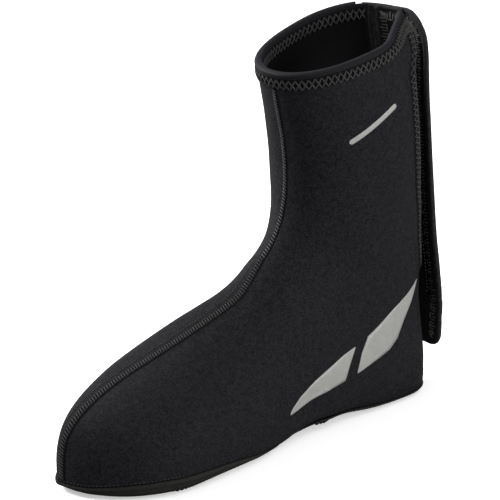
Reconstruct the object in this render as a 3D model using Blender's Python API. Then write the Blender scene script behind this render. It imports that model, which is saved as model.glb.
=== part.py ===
"""Cycling overshoe for the left foot: hollow neoprene boot, fabric sole, rear closure flap."""
import math

import bmesh
import bpy
from mathutils import Vector

# named sizes, metres
FOOT_LENGTH = 0.276
BALL_WIDTH = 0.098
INSTEP_HEIGHT = 0.099
SHAFT_HEIGHT = 0.222
SHAFT_LENGTH = 0.104
SHAFT_WIDTH = 0.073
WALL = 0.0030
SOLE_THICK = 0.0013
FIT_GAP = 0.0003
SLIT_BOTTOM = 0.052
COLLAR_SLOPE = math.radians(10)
HEM_DEPTH = 0.0085
HEM_THICK = 0.0008
SEAM_WIDTH = 0.0050
SEAM_THICK = 0.0010
FLAP_THICK = 0.0030
FLAP_REACH = 0.027
FLAP_SEWN = 0.021
FLAP_BOTTOM = 0.024
FLAP_TOP_ROUND = 0.024
FLAP_LOW_ROUND = 0.013
TAPE_THICK = 0.0010
MARGIN_WIDTH = 0.0085
MARGIN_LIFT = FIT_GAP + HEM_THICK
FLAP_DROP = 0.0070
REFLECTOR_THICK = 0.0006
PRINT_GAP = 0.0004
SOLE_GAP = 0.0005
BAND_HEIGHT = 0.0075
CLEAT_LENGTH = 0.062
CLEAT_WIDTH = 0.036
HEEL_HOLE_LENGTH = 0.040
HEEL_HOLE_WIDTH = 0.032

# derived places
UNDER = SOLE_THICK + SOLE_GAP
HEEL_BACK = 0.133 / 0.276 * FOOT_LENGTH
TOE_MID = HEEL_BACK - 0.86 * FOOT_LENGTH
WAIST_MID = HEEL_BACK - 0.52 * FOOT_LENGTH
HEEL_MID = HEEL_BACK - 0.20 * FOOT_LENGTH
SHAFT_MID = HEEL_BACK - 0.192 * FOOT_LENGTH
TOE_ROUND = 0.20
HEEL_ROUND = 0.115
TOE_AXIS = (-0.10 * BALL_WIDTH, TOE_MID, 0.24 * INSTEP_HEIGHT)
WAIST_AXIS = (0.0, WAIST_MID, 0.40 * INSTEP_HEIGHT)
HEEL_AXIS = (0.0, HEEL_MID, 1.12 * INSTEP_HEIGHT)
COLLAR_AXIS = (0.0, HEEL_MID - 0.12 * SHAFT_LENGTH, SHAFT_HEIGHT)

# vertical sections of the foot, heel 0 to toe 1
# out, inner and lean are shares of the ball width, top and low of the instep height
# belly is how far up the widest point lies
FOOT = [
    # along out inner lean top low belly
    (0.00, 0.320, 0.320, 0.00, 0.74, 0.000, 0.22),
    (0.10, 0.330, 0.330, 0.00, 0.80, 0.000, 0.22),
    (0.20, 0.335, 0.335, 0.00, 0.90, 0.005, 0.22),
    (0.30, 0.330, 0.335, 0.00, 0.97, 0.035, 0.22),
    (0.40, 0.355, 0.335, -0.015, 0.97, 0.050, 0.22),
    (0.50, 0.430, 0.335, -0.06, 0.91, 0.020, 0.22),
    (0.60, 0.520, 0.315, -0.11, 0.825, 0.000, 0.23),
    (0.70, 0.560, 0.295, -0.13, 0.745, 0.000, 0.24),
    (0.80, 0.575, 0.275, -0.13, 0.665, 0.000, 0.26),
    (0.90, 0.540, 0.218, -0.12, 0.58, 0.000, 0.28),
    (1.00, 0.470, 0.150, -0.11, 0.49, 0.010, 0.30),
]
# level sections of the shaft, floor 0 to collar 1
# front and back are shares of the shaft length from its middle, out and inner of the shaft width
SHAFT = [
    # up front back out inner
    (0.00, 0.34, 0.42, 0.36, 0.36),
    (0.10, 0.40, 0.465, 0.41, 0.41),
    (0.25, 0.46, 0.495, 0.445, 0.445),
    (0.45, 0.48, 0.50, 0.45, 0.45),
    (0.60, 0.48, 0.50, 0.47, 0.47),
    (0.75, 0.50, 0.49, 0.50, 0.50),
    (0.90, 0.57, 0.45, 0.50, 0.50),
    (1.00, 0.63, 0.41, 0.49, 0.49),
]


def clear_scene():
    for thing in list(bpy.data.objects):
        bpy.data.objects.remove(thing, do_unlink=True)


# ---------- materials ----------

def material(name, colour, roughness, metallic=0.0):
    made = bpy.data.materials.new(name)
    made.use_nodes = True
    shader = made.node_tree.nodes["Principled BSDF"]
    shader.inputs["Base Color"].default_value = (*colour, 1.0)
    shader.inputs["Roughness"].default_value = roughness
    shader.inputs["Metallic"].default_value = metallic
    return made


def neoprene():
    return material("neoprene", (0.017, 0.017, 0.021), 0.78)


def hem_fabric():
    return material("hem_fabric", (0.030, 0.029, 0.034), 0.72)


def seam_thread():
    return material("seam_thread", (0.012, 0.012, 0.014), 0.85)


def sole_fabric():
    return material("sole_fabric", (0.028, 0.028, 0.026), 0.80)


def tape_pile():
    return material("tape_pile", (0.010, 0.010, 0.011), 0.90)


def reflective_print():
    return material("reflective_print", (0.38, 0.39, 0.36), 0.45)


# ---------- the last: foot and shaft blended into one form ----------

def row_at(table, at):
    last = len(table) - 1
    at = min(max(at, table[0][0]), table[last][0])
    k = 0
    while k < last - 1 and at > table[k + 1][0]:
        k += 1
    low, high = table[k], table[k + 1]
    before, after = table[max(k - 1, 0)], table[min(k + 2, last)]
    span = high[0] - low[0]
    f = (at - low[0]) / span
    f2, f3 = f * f, f * f * f
    row = []
    for c in range(1, len(low)):
        start = (high[c] - before[c]) / (high[0] - before[0]) * span
        end = (after[c] - low[c]) / (after[0] - low[0]) * span
        row.append((2 * f3 - 3 * f2 + 1) * low[c] + (f3 - 2 * f2 + f) * start
                   + (3 * f2 - 2 * f3) * high[c] + (f3 - f2) * end)
    return row


def end_round(q, power):
    q = min(max(q, 0.0), 0.999999)
    return (1 - q ** power) ** (1 / power)


def underside(y):
    along = (HEEL_BACK - y) / FOOT_LENGTH
    return UNDER + max(row_at(FOOT, along)[4], 0) * INSTEP_HEIGHT


def foot_value(x, y, z):
    along = (HEEL_BACK - y) / FOOT_LENGTH
    out, inner, lean, top, _, belly = row_at(FOOT, along)
    lean = lean * BALL_WIDTH
    top = top * INSTEP_HEIGHT
    low = underside(y)
    past, wide, tall, deep = 0.0, 1.0, 1.0, 1.0
    if along < HEEL_ROUND:
        q = (HEEL_ROUND - along) / HEEL_ROUND
        wide, tall, deep = end_round(q, 2.2), end_round(q, 5), end_round(q, 10)
        past = max(q - 1, 0)
    elif along > 1 - TOE_ROUND:
        q = (along - 1 + TOE_ROUND) / TOE_ROUND
        wide, tall, deep = end_round(q, 2.2), end_round(q, 3.6), end_round(q, 10)
        past = max(q - 1, 0)
    half = max((out if x > lean else inner) * BALL_WIDTH * wide, 1e-5)
    mid = low + belly * (top - low)
    if z > mid:
        rise = max((top - mid) * tall, 1e-5)
        n = 1.85 if x > lean else 1.66
    else:
        rise = max((mid - low) * deep, 1e-5)
        n = 8
    a, b = abs(x - lean) / half, abs(z - mid) / rise
    big = max(a, b, 1e-9)
    r = big * ((a / big) ** n + (b / big) ** n) ** (1 / n)
    return (r - 1) * min(half, rise, 0.03) + past * 0.03


def shaft_value(x, y, z):
    front, back, out, inner = row_at(SHAFT, z / SHAFT_HEIGHT)
    length = (front if y < SHAFT_MID else back) * SHAFT_LENGTH
    half = (out if x > 0 else inner) * SHAFT_WIDTH
    n = 2.15
    r = ((abs(x) / half) ** n + (abs(y - SHAFT_MID) / length) ** n) ** (1 / n)
    return max((r - 1) * min(length, half), 0.25 * INSTEP_HEIGHT - z)


def form_value(x, y, z):
    foot, shaft = foot_value(x, y, z), shaft_value(x, y, z)
    front = min(max((SHAFT_MID + 0.01 - y) / 0.08, 0), 1)
    blend = 0.004 + 0.030 * front
    near = max(blend - abs(foot - shaft), 0) / blend
    return min(foot, shaft) - near * near * blend * 0.25


def cast(origin, way, reach=0.25):
    near, far = 0.0, reach
    for _ in range(24):
        mid = (near + far) / 2
        if form_value(*(origin[i] + way[i] * mid for i in range(3))) < 0:
            near = mid
        else:
            far = mid
    return Vector([origin[i] + way[i] * near for i in range(3)])


def outward(p):
    step = 0.0006
    slopes = []
    for i in range(3):
        a, b = p.copy(), p.copy()
        a[i] += step
        b[i] -= step
        slopes.append(form_value(*a) - form_value(*b))
    return Vector(slopes).normalized()


def lifted(p, height):
    return p + outward(p) * height


def between(a, b, f):
    return tuple(p + (q - p) * f for p, q in zip(a, b))


def ray(t, turn):
    """t 0-1 over the toe cap, 1-2 along the foot, 2-3 round the heel, 3-4 up the shaft."""
    c, s = math.cos(turn), math.sin(turn)
    if t <= 1:
        a = t * math.pi / 2
        return TOE_AXIS, (math.sin(a) * s, -math.cos(a), math.sin(a) * c)
    if t <= 2:
        return between(TOE_AXIS, WAIST_AXIS, t - 1), (s, 0, c)
    if t <= 3:
        f = t - 2
        a = math.pi / 2 * (f - 0.45 * math.sin(2 * math.pi * f) / (2 * math.pi))
        origin = between(WAIST_AXIS, HEEL_AXIS, f)
        return origin, (s, -math.sin(a) * c, math.cos(a) * c)
    a = math.pi / 2 + (t - 3) * COLLAR_SLOPE
    return between(HEEL_AXIS, COLLAR_AXIS, t - 3), (s, -math.sin(a) * c, math.cos(a) * c)


def skin(t, turn):
    return cast(*ray(t, turn))


def solve(test, low, high):
    """Where test turns from true at low to false at high."""
    for _ in range(22):
        mid = (low + high) / 2
        if test(mid):
            low = mid
        else:
            high = mid
    return low


def feather_turn(t, side, height):
    """The turn at which the ring at t comes down to this height over the underside."""
    def above(turn):
        p = skin(t, side * turn)
        return p.z > underside(p.y) + height
    if above(math.pi):
        return math.pi
    return solve(above, 0.5, math.pi)


# ---------- mesh helpers ----------

def add_object(name, verts, faces, made, smooth=True):
    mesh = bpy.data.meshes.new(name)
    mesh.from_pydata([tuple(v) for v in verts], [], faces)
    work = bmesh.new()
    work.from_mesh(mesh)
    bmesh.ops.remove_doubles(work, verts=work.verts, dist=0.00003)
    bmesh.ops.dissolve_degenerate(work, edges=work.edges, dist=0.00003)
    bmesh.ops.recalc_face_normals(work, faces=work.faces)
    if work.calc_volume(signed=True) < 0:
        bmesh.ops.reverse_faces(work, faces=work.faces)
    work.to_mesh(mesh)
    work.free()
    mesh.materials.append(made)
    for face in mesh.polygons:
        face.use_smooth = smooth
    piece = bpy.data.objects.new(name, mesh)
    bpy.context.scene.collection.objects.link(piece)
    return piece


def slab(name, face, back, made):
    """Closes the space between two grids of the same size into one body."""
    rows, cols = len(face), len(face[0])
    verts = [p for row in face for p in row] + [p for row in back for p in row]
    shift = rows * cols
    faces = []
    for i in range(rows - 1):
        for j in range(cols - 1):
            a, b = i * cols + j, (i + 1) * cols + j
            faces.append((a, a + 1, b + 1, b))
            faces.append((shift + a, shift + b, shift + b + 1, shift + a + 1))
    rim = [(0, j) for j in range(cols - 1)]
    rim += [(i, cols - 1) for i in range(rows - 1)]
    rim += [(rows - 1, j) for j in range(cols - 1, 0, -1)]
    rim += [(i, 0) for i in range(rows - 1, 0, -1)]
    for k, (i, j) in enumerate(rim):
        m, n = rim[(k + 1) % len(rim)]
        a, b = i * cols + j, m * cols + n
        faces.append((b, a, shift + a, shift + b))
    return add_object(name, verts, faces, made)


# ---------- upper ----------

def slit_turns(t, t_slit):
    """How far the rear slit is open at t: outer side, inner side."""
    f = max((t - t_slit) / (4 - t_slit), 0)
    return 0.50 * f ** 0.7, 0.16 * f ** 0.6


def upper_rows():
    t_heel = solve(lambda t: skin(t, math.pi).z < UNDER + FEATHER, 2.0, 2.95)
    t_slit = solve(lambda t: skin(t, math.pi).z < SLIT_BOTTOM, t_heel, 3.2)
    rows = [k / 9 for k in range(1, 9)]
    rows += [1 + k / 11 for k in range(11)]
    rows += [2 + (t_heel - 2) * (k / 13) * (1.5 - 0.5 * k / 13) for k in range(13)]
    rows += [t_heel + (t_slit - t_heel) * k / 4 for k in range(4)]
    top = 3 if t_slit < 2.9 else 3.05
    rows += [t_slit + (top - t_slit) * k / 5 for k in range(5)]
    rows += [top + (4 - top) * k / 11 for k in range(12)]
    return rows, t_heel, t_slit


FEATHER = 0.0030
UPPER_COLS = 40


def upper_ends(t, t_heel, t_slit):
    if t < t_heel - 1e-6:
        return tuple(feather_turn(t, side, FEATHER) for side in (1, -1))
    if t <= t_slit + 1e-6:
        return math.pi, math.pi
    out, inner = slit_turns(t, t_slit)
    return math.pi - out, math.pi - inner


def make_upper(made):
    rows, t_heel, t_slit = upper_rows()
    outer, lining = [], []
    tip = skin(0, 0)
    for t in rows:
        out, inner = upper_ends(t, t_heel, t_slit)
        line = [skin(t, -inner + (out + inner) * k / UPPER_COLS) for k in range(UPPER_COLS + 1)]
        if t_heel - 1e-6 <= t <= t_slit + 1e-6:
            line[-1] = line[0].copy()
        outer.append(line)
        lining.append([lifted(p, -WALL) for p in line])
    outer.insert(0, [tip] * (UPPER_COLS + 1))
    lining.insert(0, [lifted(tip, -WALL)] * (UPPER_COLS + 1))
    return wrap_body("upper", outer, lining, made)


def wrap_body(name, face, back, made):
    """Joins two grids, whose side ends may meet over some rows, along their open edges only."""
    rows, cols = len(face), len(face[0])
    verts = [p for row in face for p in row] + [p for row in back for p in row]
    shift = rows * cols
    faces = []
    for i in range(rows - 1):
        for j in range(cols - 1):
            a, b = i * cols + j, (i + 1) * cols + j
            faces.append((a, a + 1, b + 1, b))
            faces.append((shift + a, shift + b, shift + b + 1, shift + a + 1))
    mesh = bpy.data.meshes.new("draft")
    mesh.from_pydata([tuple(v) for v in verts], [], faces)
    work = bmesh.new()
    work.from_mesh(mesh)
    work.verts.ensure_lookup_table()
    twin = {work.verts[k]: work.verts[k + shift] for k in range(shift)}
    layer = work.verts.layers.int.new("pair")
    for k in range(shift):
        work.verts[k][layer] = k + 1
        work.verts[k + shift][layer] = -(k + 1)
    keep = {}
    merged = bmesh.ops.find_doubles(work, verts=work.verts, dist=0.00002)["targetmap"]
    for old, new in merged.items():
        keep[old[layer]] = new[layer]
    bmesh.ops.weld_verts(work, targetmap=merged)
    by_mark = {v[layer]: v for v in work.verts}

    def partner(v):
        mark = -v[layer]
        mark = keep.get(mark, mark)
        return by_mark[mark]
    rims = [e for e in work.edges if e.is_boundary and e.verts[0][layer] > 0 and e.verts[1][layer] > 0]
    for e in rims:
        a, b = e.verts
        work.faces.new((a, b, partner(b), partner(a)))
    work.to_mesh(mesh)
    work.free()
    verts = [v.co.copy() for v in mesh.vertices]
    faces = [tuple(p.vertices) for p in mesh.polygons]
    bpy.data.meshes.remove(mesh)
    return add_object(name, verts, faces, made)


# ---------- sole ----------

def sole_columns():
    """Centre and level way of each column round the foot, from the toe by the outer side and back."""
    columns = []
    toe = (TOE_AXIS[0], TOE_MID)
    heel = (0.0, HEEL_BACK - HEEL_ROUND * FOOT_LENGTH)
    half = []
    for k in range(12):
        a = math.pi / 2 * k / 12
        half.append((toe, (math.sin(a), -math.cos(a))))
    for k in range(22):
        f = k / 22
        half.append(((toe[0] + (heel[0] - toe[0]) * f, toe[1] + (heel[1] - toe[1]) * f), (1, 0)))
    for k in range(9):
        a = math.pi / 2 * k / 8
        half.append((heel, (math.cos(a), math.sin(a))))
    columns += half
    for centre, way in reversed(half[1:-1]):
        columns.append((centre, (-way[0], way[1])))
    return columns


def band_height(y):
    """The fabric's side band: full height at the forefoot, low at the waist and heel."""
    along = (HEEL_BACK - y) / FOOT_LENGTH
    f = min(max((along - 0.42) / 0.25, 0), 1)
    f = f * f * (3 - 2 * f)
    return BAND_HEIGHT * (0.55 + 0.45 * f)


def make_sole(made):
    outside, inside = [], []
    down = Vector((0, 0, -1))
    for (cx, cy), (wx, wy) in sole_columns():
        column = []
        for share in (1.0, 0.66, 0.36, 0.14):
            z = underside(cy) + band_height(cy) * share
            for _ in range(3):
                edge = cast((cx, cy, z), (wx, wy, 0))
                z = underside(edge.y) + band_height(edge.y) * share
            column.append((edge, outward(edge)))
        for share in (0.88, 0.72, 0.4, 0.0):
            x, y = cx + (edge.x - cx) * share, cy + (edge.y - cy) * share
            column.append((Vector((x, y, underside(y))), down))
        outside.append([p + n * (SOLE_GAP + SOLE_THICK) for p, n in column])
        inside.append([p + n * SOLE_GAP for p, n in column])
    outside.append(outside[0])
    inside.append(inside[0])
    sole = wrap_body("sole", outside, inside, made)
    cut_hole(sole, "cleat_cutter", 0.79, -0.02, CLEAT_LENGTH, CLEAT_WIDTH)
    cut_hole(sole, "heel_cutter", 0.145, 0.0, HEEL_HOLE_LENGTH, HEEL_HOLE_WIDTH)
    return sole


def cut_hole(piece, name, along, across, length, width):
    """A rounded hole through the bottom, placed by its share of the foot length and ball width."""
    cx, cy = across * BALL_WIDTH, HEEL_BACK - along * FOOT_LENGTH
    ring = []
    count = 28
    for k in range(count):
        a = 2 * math.pi * k / count
        c, s = math.cos(a), math.sin(a)
        ring.append((cx + width / 2 * math.copysign(abs(c) ** 0.8, c),
                     cy + length / 2 * math.copysign(abs(s) ** 0.8, s)))
    verts = [(x, y, -0.01) for x, y in ring] + [(x, y, 0.02) for x, y in ring]
    faces = [tuple(range(count - 1, -1, -1)), tuple(range(count, 2 * count))]
    for k in range(count):
        n = (k + 1) % count
        faces.append((k, n, count + n, count + k))
    cutter = add_object(name, verts, faces, piece.data.materials[0])
    cutter.hide_render = True
    cutter.display_type = "WIRE"
    change = piece.modifiers.new(name, "BOOLEAN")
    change.operation = "DIFFERENCE"
    change.solver = "EXACT"
    change.object = cutter


# ---------- collar hem, seam, margin ----------

def make_collar_hem(made):
    """A narrow fabric fold over the collar's edge, outside, top and inside."""
    _, _, t_slit = upper_rows()
    out = upper_ends(4, 0, t_slit)[0] - 0.02
    inner = solve(lambda turn: skin(4, -turn).x < -FLAP_SEWN - 0.0015, math.pi / 2, math.pi)
    turns = [-inner + (out + inner) * k / 44 for k in range(45)]
    near, far = SOLE_GAP, SOLE_GAP + HEM_THICK
    face, back = [], []
    for turn in turns:
        top = skin(4, turn)
        n = outward(top)
        up = (top - skin(3.96, turn)).normalized()
        low = [skin(4 - drop, turn) for drop in hem_drops(turn)]
        mid = top - n * WALL / 2
        sizes = (near, far)
        lines = []
        for d in sizes:
            line = [lifted(p, d) for p in low]
            for a in range(1, 4):
                w = math.pi * a / 4
                line.append(mid + n * (WALL / 2 + d) * math.cos(w) + up * ((WALL / 2 + d) * math.sin(w) * 0.7))
            line += [lifted(p, -WALL - d) for p in reversed(low)]
            lines.append(line)
        back.append(lines[0])
        face.append(lines[1])
    return slab("collar_hem", face, back, made)


def hem_drops(turn):
    """How far down the shaft's t the hem's three outer rows lie, by the depth of the hem."""
    span = (skin(4, turn) - skin(3.9, turn)).length / 0.1
    return [HEM_DEPTH / span * f for f in (1.0, 0.08)]


def below_hem(turn):
    """The shaft's t just under the hem."""
    drop = hem_drops(turn)[0]
    return 4 - drop * (1 + 0.0009 / HEM_DEPTH)


def seam_turn(t):
    """The front seam runs a little outside the ridge over the toes and meets it at the ankle."""
    if t < 1:
        return 0.20
    return 0.20 * max(1 - (t - 1) / 1.3, 0)


def make_front_seam(made):
    rise = below_hem(0) - 3
    ts = [0.10 + 0.9 * k / 7 for k in range(7)] + [1 + k / 18 for k in range(18)]
    ts += [2 + k / 8 for k in range(8)] + [3 + rise * k / 16 for k in range(17)]
    face, back = [], []
    for k, t in enumerate(ts):
        mid = skin(t, seam_turn(t))
        ahead = skin(ts[min(k + 1, len(ts) - 1)], seam_turn(ts[min(k + 1, len(ts) - 1)]))
        behind = skin(ts[max(k - 1, 0)], seam_turn(ts[max(k - 1, 0)]))
        n = outward(mid)
        side = n.cross(ahead - behind).normalized()
        line, under = [], []
        for f in (-1, -0.55, 0, 0.55, 1):
            p = mid + side * SEAM_WIDTH / 2 * f
            p = cast(p - n * 0.004, n, 0.012)
            rise = SEAM_THICK * (1 - 0.55 * f * f)
            line.append(lifted(p, FIT_GAP + rise))
            under.append(lifted(p, FIT_GAP))
        face.append(line)
        back.append(under)
    return slab("front_seam", face, back, made)


def make_slit_margin(made):
    """The stitched band along the outer side panel's free rear edge."""
    _, _, t_slit = upper_rows()
    rise = below_hem(math.pi - slit_turns(4, t_slit)[0]) - t_slit
    ts = [t_slit + rise * (0.30 + 0.70 * k / 20) for k in range(21)]
    face, back = [], []
    for t in ts:
        out, _ = slit_turns(t, t_slit)
        edge = math.pi - out
        radius = (skin(t, edge) - Vector(ray(t, edge)[0])).length
        wide = MARGIN_WIDTH / radius
        line = [skin(t, edge - 0.0006 / radius - wide * f) for f in (0, 0.25, 0.5, 0.75, 1)]
        face.append([lifted(p, FIT_GAP + HEM_THICK) for p in line])
        back.append([lifted(p, FIT_GAP) for p in line])
    return slab("slit_margin", face, back, made)


# ---------- closure flap ----------

def back_point(x, z):
    return cast((x, SHAFT_MID, z), (0, 1, 0))


def flap_y(x, z):
    """The flap lies on the shaft on the inner side, then stands off to its free edge."""
    if x <= 0:
        return back_point(x, z).y + 0.0002
    away = x / FLAP_REACH
    ease = min(away * 3, 1)
    clear = (MARGIN_LIFT + FIT_GAP) * ease * ease * (3 - 2 * ease)
    up = min(max(z / SHAFT_HEIGHT, 0), 1)
    return back_point(0, z).y + 0.0002 + clear - FLAP_DROP * (1 + up * up) * away ** 2.6


def flap_span(z, top):
    """The flap's side edges at this height: sewn edge, free edge."""
    free = FLAP_REACH
    if z > top - FLAP_TOP_ROUND:
        q = (z - top + FLAP_TOP_ROUND) / FLAP_TOP_ROUND
        free = FLAP_REACH - FLAP_TOP_ROUND * (1 - end_round(q, 2))
    elif z < FLAP_BOTTOM + FLAP_LOW_ROUND:
        q = (FLAP_BOTTOM + FLAP_LOW_ROUND - z) / FLAP_LOW_ROUND
        free = FLAP_REACH - FLAP_LOW_ROUND * (1 - end_round(q, 2))
    return -FLAP_SEWN, free


def flap_top():
    return skin(4, math.pi).z - 0.001


def flap_surface(x, z, depth):
    """A point of the flap: depth 0 on the face towards the shaft, 1 on the outer face."""
    step = 0.001
    y = flap_y(x, z)
    dx = Vector((2 * step, flap_y(x + step, z) - flap_y(x - step, z), 0))
    dz = Vector((0, flap_y(x, z + step) - flap_y(x, z - step), 2 * step))
    n = dz.cross(dx).normalized()
    if n.y < 0:
        n = -n
    return Vector((x, y, z)) + n * depth


def make_flap(made):
    top = flap_top()
    zs = [FLAP_BOTTOM + FLAP_LOW_ROUND * (1 - math.cos(math.pi / 2 * k / 5)) for k in range(6)]
    rise = top - FLAP_TOP_ROUND - FLAP_BOTTOM - FLAP_LOW_ROUND
    zs += [FLAP_BOTTOM + FLAP_LOW_ROUND + rise * k / 18 for k in range(1, 19)]
    zs += [top - FLAP_TOP_ROUND + FLAP_TOP_ROUND * math.sin(math.pi / 2 * k / 6) for k in range(1, 7)]
    face, back = [], []
    for z in zs:
        sewn, free = flap_span(z, top)
        xs = [sewn + (free - sewn) * k / 12 for k in range(13)]
        back.append([flap_surface(x, z, FIT_GAP) for x in xs])
        face.append([flap_surface(x, z, FIT_GAP + FLAP_THICK) for x in xs])
    return slab("closure_flap", face, back, made)


def make_hook_tape(made):
    """The fastening tape on the flap's face towards the shaft, along its free edge."""
    top = flap_top() - 0.012
    low = FLAP_BOTTOM + 0.030
    zs = [low + (top - low) * k / 18 for k in range(19)]
    face, back = [], []
    for z in zs:
        q = max((z - top + 0.012) / 0.012, (low + 0.012 - z) / 0.012, 0)
        trim = 0.006 * (1 - end_round(q, 2)) if q < 1 else 0.006
        left, right = 0.55 * FLAP_REACH + trim, FLAP_REACH - 0.0035 - trim
        xs = [left + (right - left) * k / 4 for k in range(5)]
        face.append([flap_surface(x, z, -TAPE_THICK) for x in xs])
        back.append([flap_surface(x, z, 0.0) for x in xs])
    return slab("hook_tape", face, back, made)


# ---------- reflectors ----------

def side_point(y, z):
    """The form's outer side at this length and height."""
    return cast((0.0, y, z), (1, 0, 0))


# y and z of matching places on the two long edges, shares of the foot length from the heel and of
# the instep height
REAR_BLADE = [
    # front_y front_z rear_y rear_z
    (0.068, 0.725, 0.067, 0.720),
    (0.115, 0.675, 0.095, 0.610),
    (0.165, 0.625, 0.125, 0.520),
    (0.215, 0.560, 0.152, 0.420),
    (0.252, 0.515, 0.180, 0.378),
    (0.272, 0.425, 0.228, 0.348),
    (0.286, 0.312, 0.284, 0.308),
]
FRONT_BLADE = [
    (0.291, 0.478, 0.290, 0.474),
    (0.325, 0.452, 0.307, 0.385),
    (0.362, 0.410, 0.322, 0.290),
    (0.412, 0.355, 0.362, 0.268),
    (0.457, 0.294, 0.420, 0.246),
    (0.488, 0.240, 0.468, 0.218),
    (0.496, 0.216, 0.494, 0.208),
]


def make_reflector(name, blade, made):
    face, back = [], []
    steps = 3
    stations = []
    for k in range(len(blade) - 1):
        for m in range(steps):
            stations.append(between(blade[k], blade[k + 1], m / steps))
    stations.append(blade[-1])
    for fy, fz, ry, rz in stations:
        line = []
        for k in range(8):
            f = k / 7
            y = HEEL_BACK - (fy + (ry - fy) * f) * FOOT_LENGTH
            z = (fz + (rz - fz) * f) * INSTEP_HEIGHT
            line.append(side_point(y, z))
        face.append([lifted(p, PRINT_GAP + REFLECTOR_THICK) for p in line])
        back.append([lifted(p, PRINT_GAP) for p in line])
    return slab(name, face, back, made)


def centre_all():
    """Moves every piece so that the shoe's box stands centred on the origin."""
    pieces = [thing for thing in bpy.data.objects if thing.type == "MESH"]
    shown = [v.co for thing in pieces if not thing.hide_render for v in thing.data.vertices]
    middle = [(min(p[i] for p in shown) + max(p[i] for p in shown)) / 2 for i in range(2)]
    shift = Vector((-middle[0], -middle[1], -min(p.z for p in shown)))
    for thing in pieces:
        for v in thing.data.vertices:
            v.co += shift


def main():
    clear_scene()
    cloth, hem, thread = neoprene(), hem_fabric(), seam_thread()
    pile, glow = tape_pile(), reflective_print()
    make_upper(cloth)
    make_sole(sole_fabric())
    make_flap(cloth)
    make_collar_hem(hem)
    make_slit_margin(hem)
    make_front_seam(thread)
    make_hook_tape(pile)
    make_reflector("reflector_rear", REAR_BLADE, glow)
    make_reflector("reflector_front", FRONT_BLADE, glow)
    centre_all()


main()
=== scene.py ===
import math
from functools import partial
import bmesh
import bpy
import numpy as np
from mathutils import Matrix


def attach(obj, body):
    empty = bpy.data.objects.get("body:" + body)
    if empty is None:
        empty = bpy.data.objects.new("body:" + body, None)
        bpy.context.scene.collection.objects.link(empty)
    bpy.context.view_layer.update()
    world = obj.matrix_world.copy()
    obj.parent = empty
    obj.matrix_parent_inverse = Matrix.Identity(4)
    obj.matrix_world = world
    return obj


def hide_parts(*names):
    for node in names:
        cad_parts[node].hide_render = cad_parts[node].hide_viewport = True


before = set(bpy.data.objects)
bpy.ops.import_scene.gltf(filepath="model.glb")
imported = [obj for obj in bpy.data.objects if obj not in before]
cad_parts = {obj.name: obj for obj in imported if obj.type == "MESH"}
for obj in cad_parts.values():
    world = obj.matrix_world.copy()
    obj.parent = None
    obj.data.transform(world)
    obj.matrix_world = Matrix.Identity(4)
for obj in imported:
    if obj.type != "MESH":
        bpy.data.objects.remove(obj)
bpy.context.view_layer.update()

print("frame loaded:", len(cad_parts), "solids")

# the foot that the neoprene is pulled over, in metres, with shares where the tables say so
last = {
    "footLength": 0.276,
    "ballWidth": 0.098,
    "instepHeight": 0.099,
    "shaftHeight": 0.222,
    "shaftLength": 0.104,
    "shaftWidth": 0.073,
    "wall": 0.003,
    "underside": 0.0018,
    "collarSlope": math.radians(10),
    "toeRound": 0.20,
    "heelRound": 0.115,
    "slitBottom": 0.052,
    "heelShare": 0.482,
    "cornerRound": 0.006,
    "looseness": 0.00022,  # how far the cloth waves in and out
}
# heel 0 to toe 1: outer and inner half width, lean, top, underside, height of the widest point
footRows = np.array([
    (0.00, 0.320, 0.320, 0.000, 0.740, 0.000, 0.22),
    (0.10, 0.330, 0.330, 0.000, 0.800, 0.000, 0.22),
    (0.20, 0.335, 0.335, 0.000, 0.900, 0.005, 0.22),
    (0.30, 0.330, 0.335, 0.000, 0.970, 0.035, 0.22),
    (0.40, 0.355, 0.335, -0.015, 0.970, 0.050, 0.22),
    (0.50, 0.430, 0.335, -0.060, 0.910, 0.020, 0.22),
    (0.60, 0.520, 0.315, -0.110, 0.825, 0.000, 0.23),
    (0.70, 0.560, 0.295, -0.130, 0.745, 0.000, 0.24),
    (0.80, 0.575, 0.275, -0.130, 0.665, 0.000, 0.26),
    (0.90, 0.540, 0.218, -0.120, 0.580, 0.000, 0.28),
    (1.00, 0.470, 0.150, -0.110, 0.490, 0.010, 0.30),
])
# floor 0 to collar 1: front, back, outer and inner half size
shaftRows = np.array([
    (0.00, 0.34, 0.42, 0.36, 0.36),
    (0.10, 0.40, 0.465, 0.41, 0.41),
    (0.25, 0.46, 0.495, 0.445, 0.445),
    (0.45, 0.48, 0.50, 0.45, 0.45),
    (0.60, 0.48, 0.50, 0.47, 0.47),
    (0.75, 0.50, 0.49, 0.50, 0.50),
    (0.90, 0.57, 0.45, 0.50, 0.50),
    (1.00, 0.63, 0.41, 0.49, 0.49),
])
# slit bottom 0 to collar 1: how far each side of the rear slit stands open, in radians
slitRows = np.array([
    (0.00, 0.00, 0.00),
    (0.08, 0.22, 0.06),
    (0.22, 0.41, 0.12),
    (0.42, 0.57, 0.20),
    (0.60, 0.69, 0.27),
    (0.78, 0.71, 0.32),
    (0.86, 0.70, 0.32),
    (0.93, 0.48, 0.32),
    (1.00, 0.16, 0.32),
])
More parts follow.
